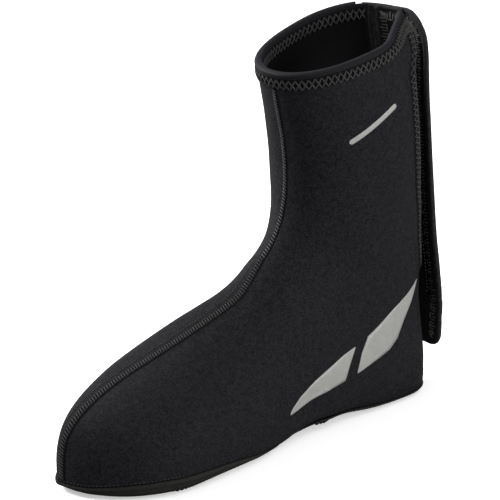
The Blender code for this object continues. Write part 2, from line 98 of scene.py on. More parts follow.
# share of the shaft height: how far the flap's free edge stands out, as a share of its reach
flapRows = np.array([
    (0.10, 1.27),
    (0.20, 1.32),
    (0.28, 1.33),
    (0.34, 1.25),
    (0.42, 1.10),
    (0.52, 0.98),
    (0.67, 0.85),
    (0.78, 0.82),
    (0.86, 0.88),
    (0.93, 0.96),
    (1.00, 1.00),
])
heelBack = last["heelShare"] * last["footLength"]
toeMid = heelBack - 0.86 * last["footLength"]
heelMid = heelBack - 0.20 * last["footLength"]
shaftMid = heelBack - 0.192 * last["footLength"]
toeAxis = np.array((-0.10 * last["ballWidth"], toeMid, 0.24 * last["instepHeight"]))
waistAxis = np.array((0.0, heelBack - 0.52 * last["footLength"], 0.40 * last["instepHeight"]))
heelAxis = np.array((0.0, heelMid, 1.12 * last["instepHeight"]))
collarAxis = np.array((0.0, heelMid - 0.12 * last["shaftLength"], last["shaftHeight"]))


def rowAt(table, at):
    keys, cols = table[:, 0], table[:, 1:]
    top = len(keys) - 1
    at = np.clip(at, keys[0], keys[-1])
    k = np.clip(np.searchsorted(keys, at) - 1, 0, top - 1)
    before, after = np.maximum(k - 1, 0), np.minimum(k + 2, top)
    span = keys[k + 1] - keys[k]
    f = ((at - keys[k]) / span)[:, None]
    low, high = cols[k], cols[k + 1]
    start = (high - cols[before]) * (span / (keys[k + 1] - keys[before]))[:, None]
    end = (cols[after] - low) * (span / (keys[after] - keys[k]))[:, None]
    f2, f3 = f * f, f * f * f
    row = (2 * f3 - 3 * f2 + 1) * low + (f3 - 2 * f2 + f) * start
    return (row + (3 * f2 - 2 * f3) * high + (f3 - f2) * end).T


def endRound(q, power):
    return (1 - np.clip(q, 0, 0.999999) ** power) ** (1 / power)


def easeIn(f):
    f = np.clip(f, 0, 1)
    return f * f * (3 - 2 * f)


def alongOf(y):
    return (heelBack - y) / last["footLength"]


def undersideAt(y):
    low = rowAt(footRows, alongOf(y))[4]
    return last["underside"] + np.maximum(low, 0) * last["instepHeight"]


def footField(p):
    x, y, z = p.T
    along = alongOf(y)
    out, inner, lean, top, low, belly = rowAt(footRows, along)
    lean, top = lean * last["ballWidth"], top * last["instepHeight"]
    low = last["underside"] + np.maximum(low, 0) * last["instepHeight"]
    heelQ = np.clip((last["heelRound"] - along) / last["heelRound"], 0, None)
    toeQ = np.clip((along - 1 + last["toeRound"]) / last["toeRound"], 0, None)
    atHeel = heelQ > 0
    q = np.where(atHeel, heelQ, toeQ)
    wide = endRound(q, 2.2)
    tall = np.where(atHeel, endRound(q, 5), endRound(q, 3.6))
    deep = endRound(q, 10)
    past = np.maximum(q - 1, 0)
    half = np.maximum(np.where(x > lean, out, inner) * last["ballWidth"] * wide, 1e-5)
    mid = low + belly * (top - low)
    above = z > mid
    rise = np.maximum(np.where(above, (top - mid) * tall, (mid - low) * deep), 1e-5)
    n = np.where(above, np.where(x > lean, 1.85, 1.66), 8.0)
    a, b = np.abs(x - lean) / half, np.abs(z - mid) / rise
    big = np.maximum(np.maximum(a, b), 1e-9)
    r = big * ((a / big) ** n + (b / big) ** n) ** (1 / n)
    return (r - 1) * np.minimum(np.minimum(half, rise), 0.03) + past * 0.03


def shaftField(p):
    x, y, z = p.T
    front, back, out, inner = rowAt(shaftRows, z / last["shaftHeight"])
    length = np.where(y < shaftMid, front, back) * last["shaftLength"]
    half = np.where(x > 0, out, inner) * last["shaftWidth"]
    n = 2.15
    r = ((np.abs(x) / half) ** n + (np.abs(y - shaftMid) / length) ** n) ** (1 / n)
    return np.maximum((r - 1) * np.minimum(length, half), 0.25 * last["instepHeight"] - z)


def larger(a, b, blend):
    near = np.maximum(blend - np.abs(a - b), 0) / blend
    return np.maximum(a, b) + near * near * blend * 0.25


# near the rim the form ends at a leaning plane, which draws the rear outer corner in
def cornerField(p):
    rim = collarAxis[2] + math.tan(last["collarSlope"]) * (p[:, 1] - collarAxis[1])
    below = 1.1 * np.maximum(rim - p[:, 2], -0.004)
    return (0.835 * p[:, 0] + 0.55 * (p[:, 1] - shaftMid) - 0.27 * last["shaftLength"] - below) / 1.45


def formField(p):
    front = np.clip((shaftMid + 0.01 - p[:, 1]) / 0.08, 0, 1)
    joined = -larger(-footField(p), -shaftField(p), 0.004 + 0.030 * front)
    return larger(joined, cornerField(p), last["cornerRound"])


def castTo(origins, ways, reach=0.25):
    near, far = np.zeros(len(origins)), np.full(len(origins), reach)
    for _ in range(22):
        mid = (near + far) / 2
        inside = formField(origins + ways * mid[:, None]) < 0
        near, far = np.where(inside, mid, near), np.where(inside, far, mid)
    return origins + ways * near[:, None]


def outwardAt(p):
    slopes = np.zeros_like(p)
    for i in range(3):
        step = np.zeros(3)
        step[i] = 0.0006
        slopes[:, i] = formField(p + step) - formField(p - step)
    return slopes / np.linalg.norm(slopes, axis=1)[:, None]


# t 0-1 over the toe cap, 1-2 along the foot, 2-3 round the heel, 3-4 up the shaft; turn 0 is the front ridge
def rays(t, turn):
    t, turn = np.broadcast_arrays(np.asarray(t, float), np.asarray(turn, float))
    t, turn = t.ravel(), turn.ravel()
    c, s = np.cos(turn), np.sin(turn)
    toe = np.clip(t, 0, 1) * math.pi / 2
    f = np.clip(t - 2, 0, 1)
    fan = math.pi / 2 * (f - 0.45 * np.sin(2 * math.pi * f) / (2 * math.pi))
    fan = fan + np.clip(t - 3, 0, 1) * last["collarSlope"]
    onToe = t <= 1
    ways = np.stack([np.where(onToe, np.sin(toe), 1) * s,
                     np.where(onToe, -np.cos(toe), -np.sin(fan) * c),
                     np.where(onToe, np.sin(toe), np.cos(fan)) * c], 1)
    foot, heel, shaft = (np.clip(t - k, 0, 1)[:, None] for k in (1, 2, 3))
    origins = toeAxis + (waistAxis - toeAxis) * foot + (heelAxis - waistAxis) * heel
    return origins + (collarAxis - heelAxis) * shaft, ways


def skinAt(t, turn):
    return castTo(*rays(t, turn))


# halves the range until it meets the place where the test stops being true
def solve(test, low, high, count=1):
    low, high = np.full(count, float(low)), np.full(count, float(high))
    for _ in range(22):
        mid = (low + high) / 2
        yes = test(mid)
        low, high = np.where(yes, mid, low), np.where(yes, high, mid)
    return low


# soft folds laid in one by one: side, from (y, z), to (y, z), width, height, with troughs below zero
folds = [
    (1, (0.030, 0.108), (0.066, 0.092), 0.0080, -0.0007),
    (1, (0.034, 0.122), (0.070, 0.110), 0.0090, 0.0004),
    (1, (0.101, 0.150), (0.106, 0.092), 0.0110, -0.0008),
    (1, (0.066, 0.072), (0.090, 0.046), 0.0150, 0.0005),
    (1, (-0.024, 0.068), (0.014, 0.050), 0.0100, -0.0004),
    (1, (-0.086, 0.046), (-0.046, 0.024), 0.0130, 0.0004),
    (1, (0.004, 0.026), (0.034, 0.020), 0.0090, -0.0005),
    (-1, (0.030, 0.110), (0.062, 0.090), 0.0090, -0.0008),
    (-1, (0.096, 0.140), (0.104, 0.088), 0.0120, -0.0009),
    (-1, (0.064, 0.074), (0.088, 0.050), 0.0150, 0.0006),
    (-1, (-0.070, 0.050), (-0.020, 0.060), 0.0120, -0.0005),
]


def foldsAt(p):
    x, y, z = p.T
    lift = np.sin(y * 68 + z * 21 + 0.7) * np.sin(z * 57 - y * 13 + x * 30 + 1.9)
    lift = lift + 0.6 * np.sin(y * 131 - z * 83 + 2.2) * np.sin(z * 109 + x * 71)
    lift = lift * last["looseness"]
    for side, start, end, width, height in folds:
        start, way = np.array(start), np.array(end) - np.array(start)
        f = np.clip((p[:, 1:] - start) @ way / (way @ way), 0, 1)
        gap = np.linalg.norm(p[:, 1:] - start - f[:, None] * way, axis=1)
        onSide = easeIn(side * x / 0.014)
        lift = lift + height * np.exp(-(gap / width) ** 2) * onSide * (0.35 + 0.65 * np.sin(math.pi * f))
    return lift


def onSkin(p, lift):
    n = outwardAt(p)
    return p + n * (foldsAt(p) + lift)[:, None], n


# the pack centres the shoe, so the toe tip tells how far everything moves
solidUpper = np.array([v.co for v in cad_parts["upper"].data.vertices])
toeTip = skinAt(0.0, 0.0)[0]
nearest = np.argmin(np.linalg.norm(solidUpper - toeTip - np.array((0, 0.003, 0)), axis=1))
seat = solidUpper[nearest] - toeTip
print("form set on the solids, moved by", np.round(seat * 1000, 2), "mm")


def makePiece(name, points, faces, material, stands=(), uv=None, merge=0.00001):
    mesh = bpy.data.meshes.new(name)
    mesh.from_pydata((np.asarray(points) + seat).tolist(), [], faces)
    if uv is not None:
        layer = mesh.uv_layers.new(name="weave")
        corner = np.empty(len(mesh.loops), dtype=np.int32)
        mesh.loops.foreach_get("vertex_index", corner)
        layer.data.foreach_set("uv", np.asarray(uv)[corner].ravel())
    work = bmesh.new()
    work.from_mesh(mesh)
    if merge:
        bmesh.ops.remove_doubles(work, verts=work.verts, dist=merge)
        bmesh.ops.dissolve_degenerate(work, edges=work.edges, dist=merge)
    bmesh.ops.recalc_face_normals(work, faces=work.faces)
    if work.calc_volume(signed=True) < 0:
        bmesh.ops.reverse_faces(work, faces=work.faces)
    work.to_mesh(mesh)
    work.free()
    mesh.materials.append(material)
    mesh.polygons.foreach_set("use_smooth", [True] * len(mesh.polygons))
    piece = bpy.data.objects.new(name, mesh)
    bpy.context.scene.collection.objects.link(piece)
    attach(piece, "root")
    if stands:
        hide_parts(*stands)
    print(name, len(mesh.polygons), "faces")
    return piece


def gridFaces(rows, cols, first=0, flip=False):
    i, j = np.meshgrid(np.arange(rows - 1), np.arange(cols - 1), indexing="ij")
    a = (i * cols + j).ravel() + first
    quads = np.stack([a, a + 1, a + cols + 1, a + cols], 1)
    return (quads[:, ::-1] if flip else quads).tolist()


# two grids of points of the same size, closed along all four sides
def slabFaces(rows, cols):
    shift = rows * cols
    faces = gridFaces(rows, cols) + gridFaces(rows, cols, shift, True)
    rim = [(0, j) for j in range(cols - 1)] + [(i, cols - 1) for i in range(rows - 1)]
    rim += [(rows - 1, j) for j in range(cols - 1, 0, -1)] + [(i, 0) for i in range(rows - 1, 0, -1)]
    marks = [i * cols + j for i, j in rim]
    for a, b in zip(marks, marks[1:] + marks[:1]):
        faces.append([b, a, shift + a, shift + b])
    return faces


def makeSlab(name, face, back, material, stands=(), uv=None):
    rows, cols = face.shape[:2]
    points = np.concatenate([face.reshape(-1, 3), back.reshape(-1, 3)])
    both = None if uv is None else np.concatenate([uv.reshape(-1, 2)] * 2)
    return makePiece(name, points, slabFaces(rows, cols), material, stands, both)


# a line drawn on the skin, with its outward and sideways directions at every place
def lineOn(points, toward):
    p = np.asarray(points)
    n = outwardAt(p)
    ahead = np.gradient(p, axis=0)
    side = np.cross(n, ahead)
    side /= np.linalg.norm(side, axis=1)[:, None]
    if np.sum(side @ np.asarray(toward, float)) < 0:
        side = -side
    far = np.concatenate([[0], np.cumsum(np.linalg.norm(np.diff(p, axis=0), axis=1))])
    return {"at": p, "out": n, "side": side, "far": far, "length": far[-1]}


def along(line, key, s):
    return np.stack([np.interp(s, line["far"], line[key][:, i]) for i in range(3)], 1)


def onLine(line, s, across, lift):
    s, across, lift = np.broadcast_arrays(np.asarray(s, float), across, lift)
    shape = s.shape
    s, across, lift = s.ravel(), across.ravel(), lift.ravel()
    n = along(line, "out", s)
    p = along(line, "at", s) + along(line, "side", s) * across[:, None]
    p = castTo(p - n * 0.006, n, 0.014)
    p, n = onSkin(p, lift)
    return p.reshape(*shape, 3), n.reshape(*shape, 3)


# a thread that runs to and fro; place(s, across, lift) gives points and their outward directions
def zigzag(place, start, end, pitch, near, far, lift, arch=0.0003, phase=0):
    count = max(int(round((end - start) / pitch * 2)), 2)
    fine = np.linspace(0, count, count * 4 + 1)
    corner = np.arange(count + 1)
    s = np.interp(fine, corner, np.linspace(start, end, count + 1))
    across = np.interp(fine, corner, np.where((corner + phase) % 2, far, near))
    return place(s, across, lift + arch * np.abs(np.sin(math.pi * fine)))


def dashes(place, start, end, pitch, dash, across, lift, slant=0.0):
    runs = []
    for s in np.arange(start, end, pitch):
        f = np.linspace(-0.5, 0.5, 5)
        rise = lift * np.cos(math.pi * f * 0.9)
        runs.append(place(s + dash * f, across + slant * f, rise))
    return runs


# faces of a tube: rings of this many points, closed into a loop or open at both ends
def tubeFaces(count, sides, loop=False, first=0):
    i, j = np.meshgrid(np.arange(count if loop else count - 1), np.arange(sides), indexing="ij")
    ahead = (i + 1) % count
    corners = [i * sides + j, i * sides + (j + 1) % sides, ahead * sides + (j + 1) % sides, ahead * sides + j]
    faces = (np.stack([c.ravel() for c in corners], 1) + first).tolist()
    if not loop:
        faces.append([first + k for k in range(sides)][::-1])
        faces.append([first + (count - 1) * sides + k for k in range(sides)])
    return faces


# thread of this radius laid along each run of points
def makeThreads(name, runs, radius, material, sides=6, flat=0.75, stands=()):
    points, faces = [], []
    turn = np.linspace(0, 2 * math.pi, sides, endpoint=False)
    first = 0
    for p, n in runs:
        ahead = np.gradient(p, axis=0)
        side = np.cross(ahead, n)
        side /= np.maximum(np.linalg.norm(side, axis=1), 1e-9)[:, None]
        size = np.full(len(p), radius)
        size[[0, -1]] *= 0.35
        ring = p[:, None] + size[:, None, None] * (
            n[:, None] * np.cos(turn)[None, :, None] * flat + side[:, None] * np.sin(turn)[None, :, None])
        points.append(ring.reshape(-1, 3))
        faces += tubeFaces(len(p), sides, False, first)
        first += len(p) * sides
    return makePiece(name, np.concatenate(points), faces, material, stands, merge=0)


# finishes
def add(tree, kind, feeds=None, **settings):
    made = tree.nodes.new("ShaderNode" + kind)
    for key, value in settings.items():
        setattr(made, key, value)
    for socket, source in (feeds or {}).items():
        if isinstance(source, bpy.types.NodeSocket):
            tree.links.new(source, made.inputs[socket])
        else:
            made.inputs[socket].default_value = source
    return made


def math2(tree, operation, a, b=0.0, clamp=False):
    return add(tree, "Math", {0: a, 1: b}, operation=operation, use_clamp=clamp).outputs[0]


def newGroup(name, inputs, outputs):
    group = bpy.data.node_groups.new(name, "ShaderNodeTree")
    for label, value in inputs.items():
        if value is None:
            group.interface.new_socket(label, in_out="INPUT", socket_type="NodeSocketVector")
        else:
            made = group.interface.new_socket(label, in_out="INPUT", socket_type="NodeSocketFloat")
            made.default_value = value
    for label in outputs:
        group.interface.new_socket(label, in_out="OUTPUT", socket_type="NodeSocketFloat")
    return group, group.nodes.new("NodeGroupInput").outputs, group.nodes.new("NodeGroupOutput").inputs


# fine knitted face of the neoprene: pale flecks and a soft height
def knitGrainGroup():
    group, given, out = newGroup("knitGrain", {"Vector": None, "Scale": 1000.0, "Contrast": 2.0},
                                 ["Flecks", "Height"])
    fine = add(group, "TexNoise", {"Vector": given["Vector"], "Scale": given["Scale"], "Detail": 2.0,
                                   "Roughness": 0.65})
    wide = add(group, "TexNoise", {"Vector": given["Vector"],
                                   "Scale": math2(group, "MULTIPLY", given["Scale"], 0.31),
                                   "Detail": 2.0, "Roughness": 0.6})
    mixed = math2(group, "ADD", math2(group, "MULTIPLY", fine.outputs[0], 0.7),
                  math2(group, "MULTIPLY", wide.outputs[0], 0.3))
    centred = math2(group, "SUBTRACT", mixed, 0.5)
    flecks = math2(group, "ADD", math2(group, "MULTIPLY", centred, given["Contrast"]), 0.5, True)
    group.links.new(flecks, out["Flecks"])
    group.links.new(mixed, out["Height"])
    return group


# slow change of tone and wear over a hand's breadth
def handlingGroup():
    group, given, out = newGroup("handling", {"Vector": None, "Scale": 14.0}, ["Tone", "Rub"])
    slow = add(group, "TexNoise", {"Vector": given["Vector"], "Scale": given["Scale"], "Detail": 3.0})
    rub = add(group, "TexNoise", {"Vector": given["Vector"],
                                  "Scale": math2(group, "MULTIPLY", given["Scale"], 5.3), "Detail": 4.0})
    group.links.new(slow.outputs[0], out["Tone"])
    group.links.new(math2(group, "MULTIPLY", math2(group, "SUBTRACT", rub.outputs[0], 0.5, True), 2.5, True),
                    out["Rub"])
    return group


# herringbone: slanted ribs that turn over at each row
def herringboneGroup():
    group, given, out = newGroup("herringbone", {"Vector": None, "Rib": 0.0011, "Row": 0.0032},
                                 ["Thread", "Height"])
    place = add(group, "SeparateXYZ", {0: given["Vector"]}).outputs
    row = math2(group, "DIVIDE", place[1], given["Row"])
    fold = math2(group, "PINGPONG", row, 1.0)
    slant = math2(group, "MULTIPLY", fold, math2(group, "DIVIDE", given["Row"], given["Rib"]))
    ribs = math2(group, "ADD", math2(group, "DIVIDE", place[0], given["Rib"]), slant)
    wave = math2(group, "PINGPONG", ribs, 0.5)
    height = math2(group, "MULTIPLY", wave, 2.0)
    valley = math2(group, "SUBTRACT", 1.0, math2(group, "MULTIPLY", math2(group, "ABSOLUTE",
                   math2(group, "SUBTRACT", fold, 0.5)), 2.0))
    group.links.new(math2(group, "MULTIPLY", height, math2(group, "ADD", 0.55, math2(
        group, "MULTIPLY", valley, 0.45))), out["Thread"])
    group.links.new(height, out["Height"])
    return group


knitGrain, handling, herringbone = knitGrainGroup(), handlingGroup(), herringboneGroup()


def useGroup(tree, group, feeds):
    made = tree.nodes.new("ShaderNodeGroup")
    made.node_tree = group
    for label, source in feeds.items():
        if isinstance(source, bpy.types.NodeSocket):
            tree.links.new(source, made.inputs[label])
        else:
            made.inputs[label].default_value = source
    return made.outputs


def newMaterial(name, sheen, coat=0.0):
    material = bpy.data.materials.new(name)
    material.use_nodes = True
    tree = material.node_tree
    shader = tree.nodes["Principled BSDF"]
    shader.inputs["Sheen Weight"].default_value = sheen
    shader.inputs["Sheen Roughness"].default_value = 0.45
    shader.inputs["Sheen Tint"].default_value = (0.75, 0.76, 0.85, 1)
    shader.inputs["Coat Weight"].default_value = coat
    shader.inputs["Specular IOR Level"].default_value = 0.06
    return material, tree, shader, add(tree, "TexCoord").outputs["Object"]


def mixColour(tree, factor, dark, light):
    made = add(tree, "Mix", data_type="RGBA")
    tree.links.new(factor, made.inputs[0])
    for socket, colour in ((6, dark), (7, light)):
        if isinstance(colour, bpy.types.NodeSocket):
            tree.links.new(colour, made.inputs[socket])
        else:
            made.inputs[socket].default_value = (*colour, 1)
    return made.outputs[2]


def bumpTo(tree, shader, height, distance, strength=1.0):
    bump = add(tree, "Bump", {"Strength": strength, "Distance": distance, "Height": height})
    tree.links.new(bump.outputs[0], shader.inputs["Normal"])


def knitMaterial(name, look):
    material, tree, shader, place = newMaterial(name, look["sheen"])
    grain = useGroup(tree, knitGrain, {"Vector": place, "Scale": look["grain"], "Contrast": look["contrast"]})
    wear = useGroup(tree, handling, {"Vector": place, "Scale": look["patches"]})
    speckled = mixColour(tree, grain["Flecks"], look["dark"], look["light"])
    toned = mixColour(tree, math2(tree, "MULTIPLY", wear["Tone"], look["toneShare"]), speckled, look["tone"])
    tree.links.new(toned, shader.inputs["Base Color"])
    rough = math2(tree, "SUBTRACT", look["rough"], math2(tree, "MULTIPLY", wear["Rub"], look["rubShare"]))
    tree.links.new(rough, shader.inputs["Roughness"])
    bumpTo(tree, shader, grain["Height"], look["relief"])
    return material


neopreneLook = {"dark": (0.0025, 0.0025, 0.0035), "light": (0.0185, 0.0185, 0.0212),
                "tone": (0.0105, 0.0100, 0.0135), "toneShare": 0.35, "grain": 1150.0, "contrast": 4.2,
                "patches": 16.0, "rough": 0.74, "rubShare": 0.10, "relief": 0.0004, "sheen": 0.018}
liningLook = {"dark": (0.002, 0.002, 0.0025), "light": (0.006, 0.006, 0.007), "tone": (0.004, 0.004, 0.005),
              "toneShare": 0.30, "grain": 1400.0, "contrast": 2.0, "patches": 20.0, "rough": 0.85,
              "rubShare": 0.05, "relief": 0.0002, "sheen": 0.004}
hemLook = {"dark": (0.004, 0.004, 0.005), "light": (0.017, 0.0165, 0.020), "tone": (0.010, 0.0095, 0.012),
           "toneShare": 0.30, "grain": 1500.0, "contrast": 1.6, "patches": 30.0, "rough": 0.62,
           "rubShare": 0.12, "relief": 0.0002, "sheen": 0.03}
threadLook = {"dark": (0.006, 0.006, 0.006), "light": (0.070, 0.069, 0.067), "tone": (0.026, 0.026, 0.025),
              "toneShare": 0.30, "grain": 2400.0, "contrast": 3.2, "patches": 60.0, "rough": 0.58,
              "rubShare": 0.16, "relief": 0.00015, "sheen": 0.03}
pileLook = {"dark": (0.001, 0.001, 0.001), "light": (0.008, 0.008, 0.008), "tone": (0.003, 0.003, 0.003),
            "toneShare": 0.30, "grain": 1900.0, "contrast": 4.0, "patches": 40.0, "rough": 0.86,
            "rubShare": 0.10, "relief": 0.0009, "sheen": 0.006}
# near-black ground laid under stitching: painted shade in the gaps between the threads
paintedShadeGroundLook = {"dark": (0.0015, 0.0015, 0.002), "light": (0.007, 0.007, 0.008),
              "tone": (0.003, 0.003, 0.004), "toneShare": 0.30, "grain": 1700.0, "contrast": 3.0,
              "patches": 30.0, "rough": 0.8, "rubShare": 0.10, "relief": 0.0003, "sheen": 0.006}
# lighter copies of the neoprene and its thread for the rear flap: painted light, standing in for the grazing
# light along the rear edge
paintedLightFlapLook = dict(neopreneLook, dark=(0.007, 0.007, 0.008), light=(0.036, 0.036, 0.038),
                tone=(0.020, 0.020, 0.021))
paintedLightFlapThreadLook = dict(threadLook, dark=(0.02, 0.02, 0.02), light=(0.17, 0.17, 0.16),
                      tone=(0.07, 0.07, 0.068))
# brighter copy of the seam thread for the ladder on the shaft: painted highlight, standing in for the light
# its loops catch
paintedHighlightLadderLook = dict(threadLook, light=(0.14, 0.14, 0.145), tone=(0.06, 0.06, 0.062))
neoprene = knitMaterial("neoprene", neopreneLook)
lining = knitMaterial("liningJersey", liningLook)
hemFabric = knitMaterial("hemFabric", hemLook)
seamThread = knitMaterial("seamThread", threadLook)
tapePile = knitMaterial("tapePile", pileLook)
paintedShadeStitchGround = knitMaterial("paintedShadeStitchGround", paintedShadeGroundLook)
paintedLightFlapFabric = knitMaterial("paintedLightFlapFabric", paintedLightFlapLook)
paintedLightFlapThread = knitMaterial("paintedLightFlapThread", paintedLightFlapThreadLook)
paintedHighlightLadderThread = knitMaterial("paintedHighlightLadderThread", paintedHighlightLadderLook)


def soleMaterial():
    look = {"dark": (0.002, 0.002, 0.0018), "light": (0.060, 0.060, 0.054), "rib": 0.0016, "row": 0.0034,
            "relief": 0.0004, "rough": 0.80}
    material, tree, shader, place = newMaterial("soleFabric", 0.015)
    weave = useGroup(tree, herringbone, {"Vector": add(tree, "UVMap", uv_map="weave").outputs[0],
                                         "Rib": look["rib"], "Row": look["row"]})
    wear = useGroup(tree, handling, {"Vector": place, "Scale": 45.0})
    grain = useGroup(tree, knitGrain, {"Vector": place, "Scale": 1800.0, "Contrast": 2.0})
    lit = math2(tree, "MULTIPLY", weave["Thread"], math2(tree, "ADD", 0.35, grain["Flecks"]), True)
    woven = mixColour(tree, lit, look["dark"], look["light"])
    tree.links.new(mixColour(tree, math2(tree, "MULTIPLY", wear["Rub"], 0.4), woven, (0.014, 0.0135, 0.012)),
                   shader.inputs["Base Color"])
    tree.links.new(math2(tree, "ADD", look["rough"], math2(tree, "MULTIPLY", wear["Tone"], 0.1)),
                   shader.inputs["Roughness"])
    bumpTo(tree, shader, weave["Height"], look["relief"])
    return material


def printMaterial():
    look = {"dull": (0.262, 0.264, 0.252), "bright": (0.372, 0.374, 0.356), "rough": 0.52, "beads": 2600.0}
    material, tree, shader, place = newMaterial("reflectivePrint", 0.0)
    shader.inputs["Metallic"].default_value = 0.15
    wear = useGroup(tree, handling, {"Vector": place, "Scale": 70.0})
    beads = add(tree, "TexVoronoi", {"Vector": place, "Scale": look["beads"]})
    grain = useGroup(tree, knitGrain, {"Vector": place, "Scale": 900.0, "Contrast": 2.4})
    tone = math2(tree, "ADD", math2(tree, "MULTIPLY", wear["Tone"], 0.45),
                 math2(tree, "MULTIPLY", grain["Flecks"], 0.55))
    tree.links.new(mixColour(tree, tone, look["dull"], look["bright"]), shader.inputs["Base Color"])
    tree.links.new(math2(tree, "ADD", look["rough"] - 0.08, math2(tree, "MULTIPLY", wear["Rub"], 0.2)),
                   shader.inputs["Roughness"])
    height = math2(tree, "ADD", grain["Height"], math2(tree, "MULTIPLY", beads.outputs["Distance"], 0.3))
    bumpTo(tree, shader, height, 0.00012)
    return material


soleFabric, reflectivePrint = soleMaterial(), printMaterial()
print("finishes mixed")

# camera and light: the photograph's angle, worked out from the shoe's outline
photo = {"azimuth": 44.0, "elevation": 19.0, "distance": 3.0, "focal": 5220 / 500 * 36, "height": 0.1118}


def setCamera():
    a, e = math.radians(photo["azimuth"]), math.radians(photo["elevation"])
    back = np.array((math.sin(a) * math.cos(e), -math.cos(a) * math.cos(e), math.sin(e)))
    camera = bpy.data.objects.new("camera", bpy.data.cameras.new("camera"))
    bpy.context.scene.collection.objects.link(camera)
    camera.location = seat + np.array((0, 0, photo["height"])) + back * photo["distance"]
    camera.rotation_euler = (math.radians(90 - photo["elevation"]), 0, a)
    camera.data.sensor_width = 36
    camera.data.lens = photo["focal"]
    camera.data.clip_end = 50
    bpy.context.scene.camera = camera


def softLight(name, azimuth, elevation, distance, size, power, tint=(1, 1, 1)):
    a, e = math.radians(azimuth), math.radians(elevation)
    lamp = bpy.data.objects.new(name, bpy.data.lights.new(name, "AREA"))
    lamp.data.shape = "DISK"
    lamp.data.size = size
    lamp.data.energy = power
    lamp.data.color = tint
    lamp.location = (distance * math.sin(a) * math.cos(e), -distance * math.cos(a) * math.cos(e),
                     distance * math.sin(e) + 0.1)
    lamp.rotation_euler = (math.pi / 2 - e, 0, a)
    bpy.context.scene.collection.objects.link(lamp)


def setStudio():
    studio = {"surround": 0.30, "floorTone": 0.90, "bounceTone": 0.30, "floorGlow": 0.45, "floorSize": 12.0}
    world = bpy.data.worlds.new("studio")
    world.use_nodes = True
    sky = world.node_tree
    sky.nodes["Background"].inputs[0].default_value = (1, 1, 1, 1)
    seen = add(sky, "LightPath").outputs["Is Camera Ray"]
    glow = math2(sky, "ADD", studio["surround"], math2(sky, "MULTIPLY", seen, 1 - studio["surround"]))
    sky.links.new(glow, sky.nodes["Background"].inputs[1])
    bpy.context.scene.world = world
    softLight("leftLight", -70, 35, 1.6, 1.0, 58)
    softLight("lowLight", 110, 10, 1.6, 1.0, 20)
    softLight("keyLight", 85, 48, 1.6, 1.0, 7)
    softLight("frontLight", 30, 50, 1.6, 1.0, 2)
    floor = bpy.data.meshes.new("studioFloor")
    r = studio["floorSize"] / 2
    floor.from_pydata([(-r, -r, 0), (r, -r, 0), (r, r, 0), (-r, r, 0)], [], [(0, 1, 2, 3)])
    paper = bpy.data.materials.new("floorPaper")
    paper.use_nodes = True
    shader = paper.node_tree.nodes["Principled BSDF"]
    seen = add(paper.node_tree, "LightPath").outputs["Is Camera Ray"]
    tones = [(studio[key],) * 3 for key in ("bounceTone", "floorTone")]
    paper.node_tree.links.new(mixColour(paper.node_tree, seen, *tones), shader.inputs["Base Color"])
    paper.node_tree.links.new(seen, shader.inputs["Emission Color"])
    shader.inputs["Emission Strength"].default_value = studio["floorGlow"]
    shader.inputs["Roughness"].default_value = 0.9
    shader.inputs["Specular IOR Level"].default_value = 0.1
    floor.materials.append(paper)
    ground = bpy.data.objects.new("studioFloor", floor)
    bpy.context.scene.collection.objects.link(ground)
    bpy.context.scene.view_settings.view_transform = "Standard"


setCamera()
setStudio()
print("camera and light set")

# upper: one hollow shell of neoprene, outer face and lining
upperCut = {"columns": 150, "toeRows": 26, "footRows": 52, "heelRows": 34, "lowSlitRows": 14, "shaftRows": 50,
            "rimRows": 24, "rimFrom": 3.84, "feather": 0.0030}


def backHeight(t):
    return skinAt(t, math.pi)[:, 2]


tHeel = solve(lambda t: backHeight(t) < last["underside"] + upperCut["feather"], 2.0, 2.95)[0]
tSlit = solve(lambda t: backHeight(t) < last["slitBottom"], tHeel, 3.2)[0]


def slitOpen(t, side=0):
    return rowAt(slitRows, (np.atleast_1d(t) - tSlit) / (4 - tSlit))[side]


def lowTurn(t, side):
    def above(turn):
        p = skinAt(t, side * turn)
        return p[:, 2] > undersideAt(p[:, 1]) + upperCut["feather"]
    return solve(above, 0.5, math.pi, len(t))


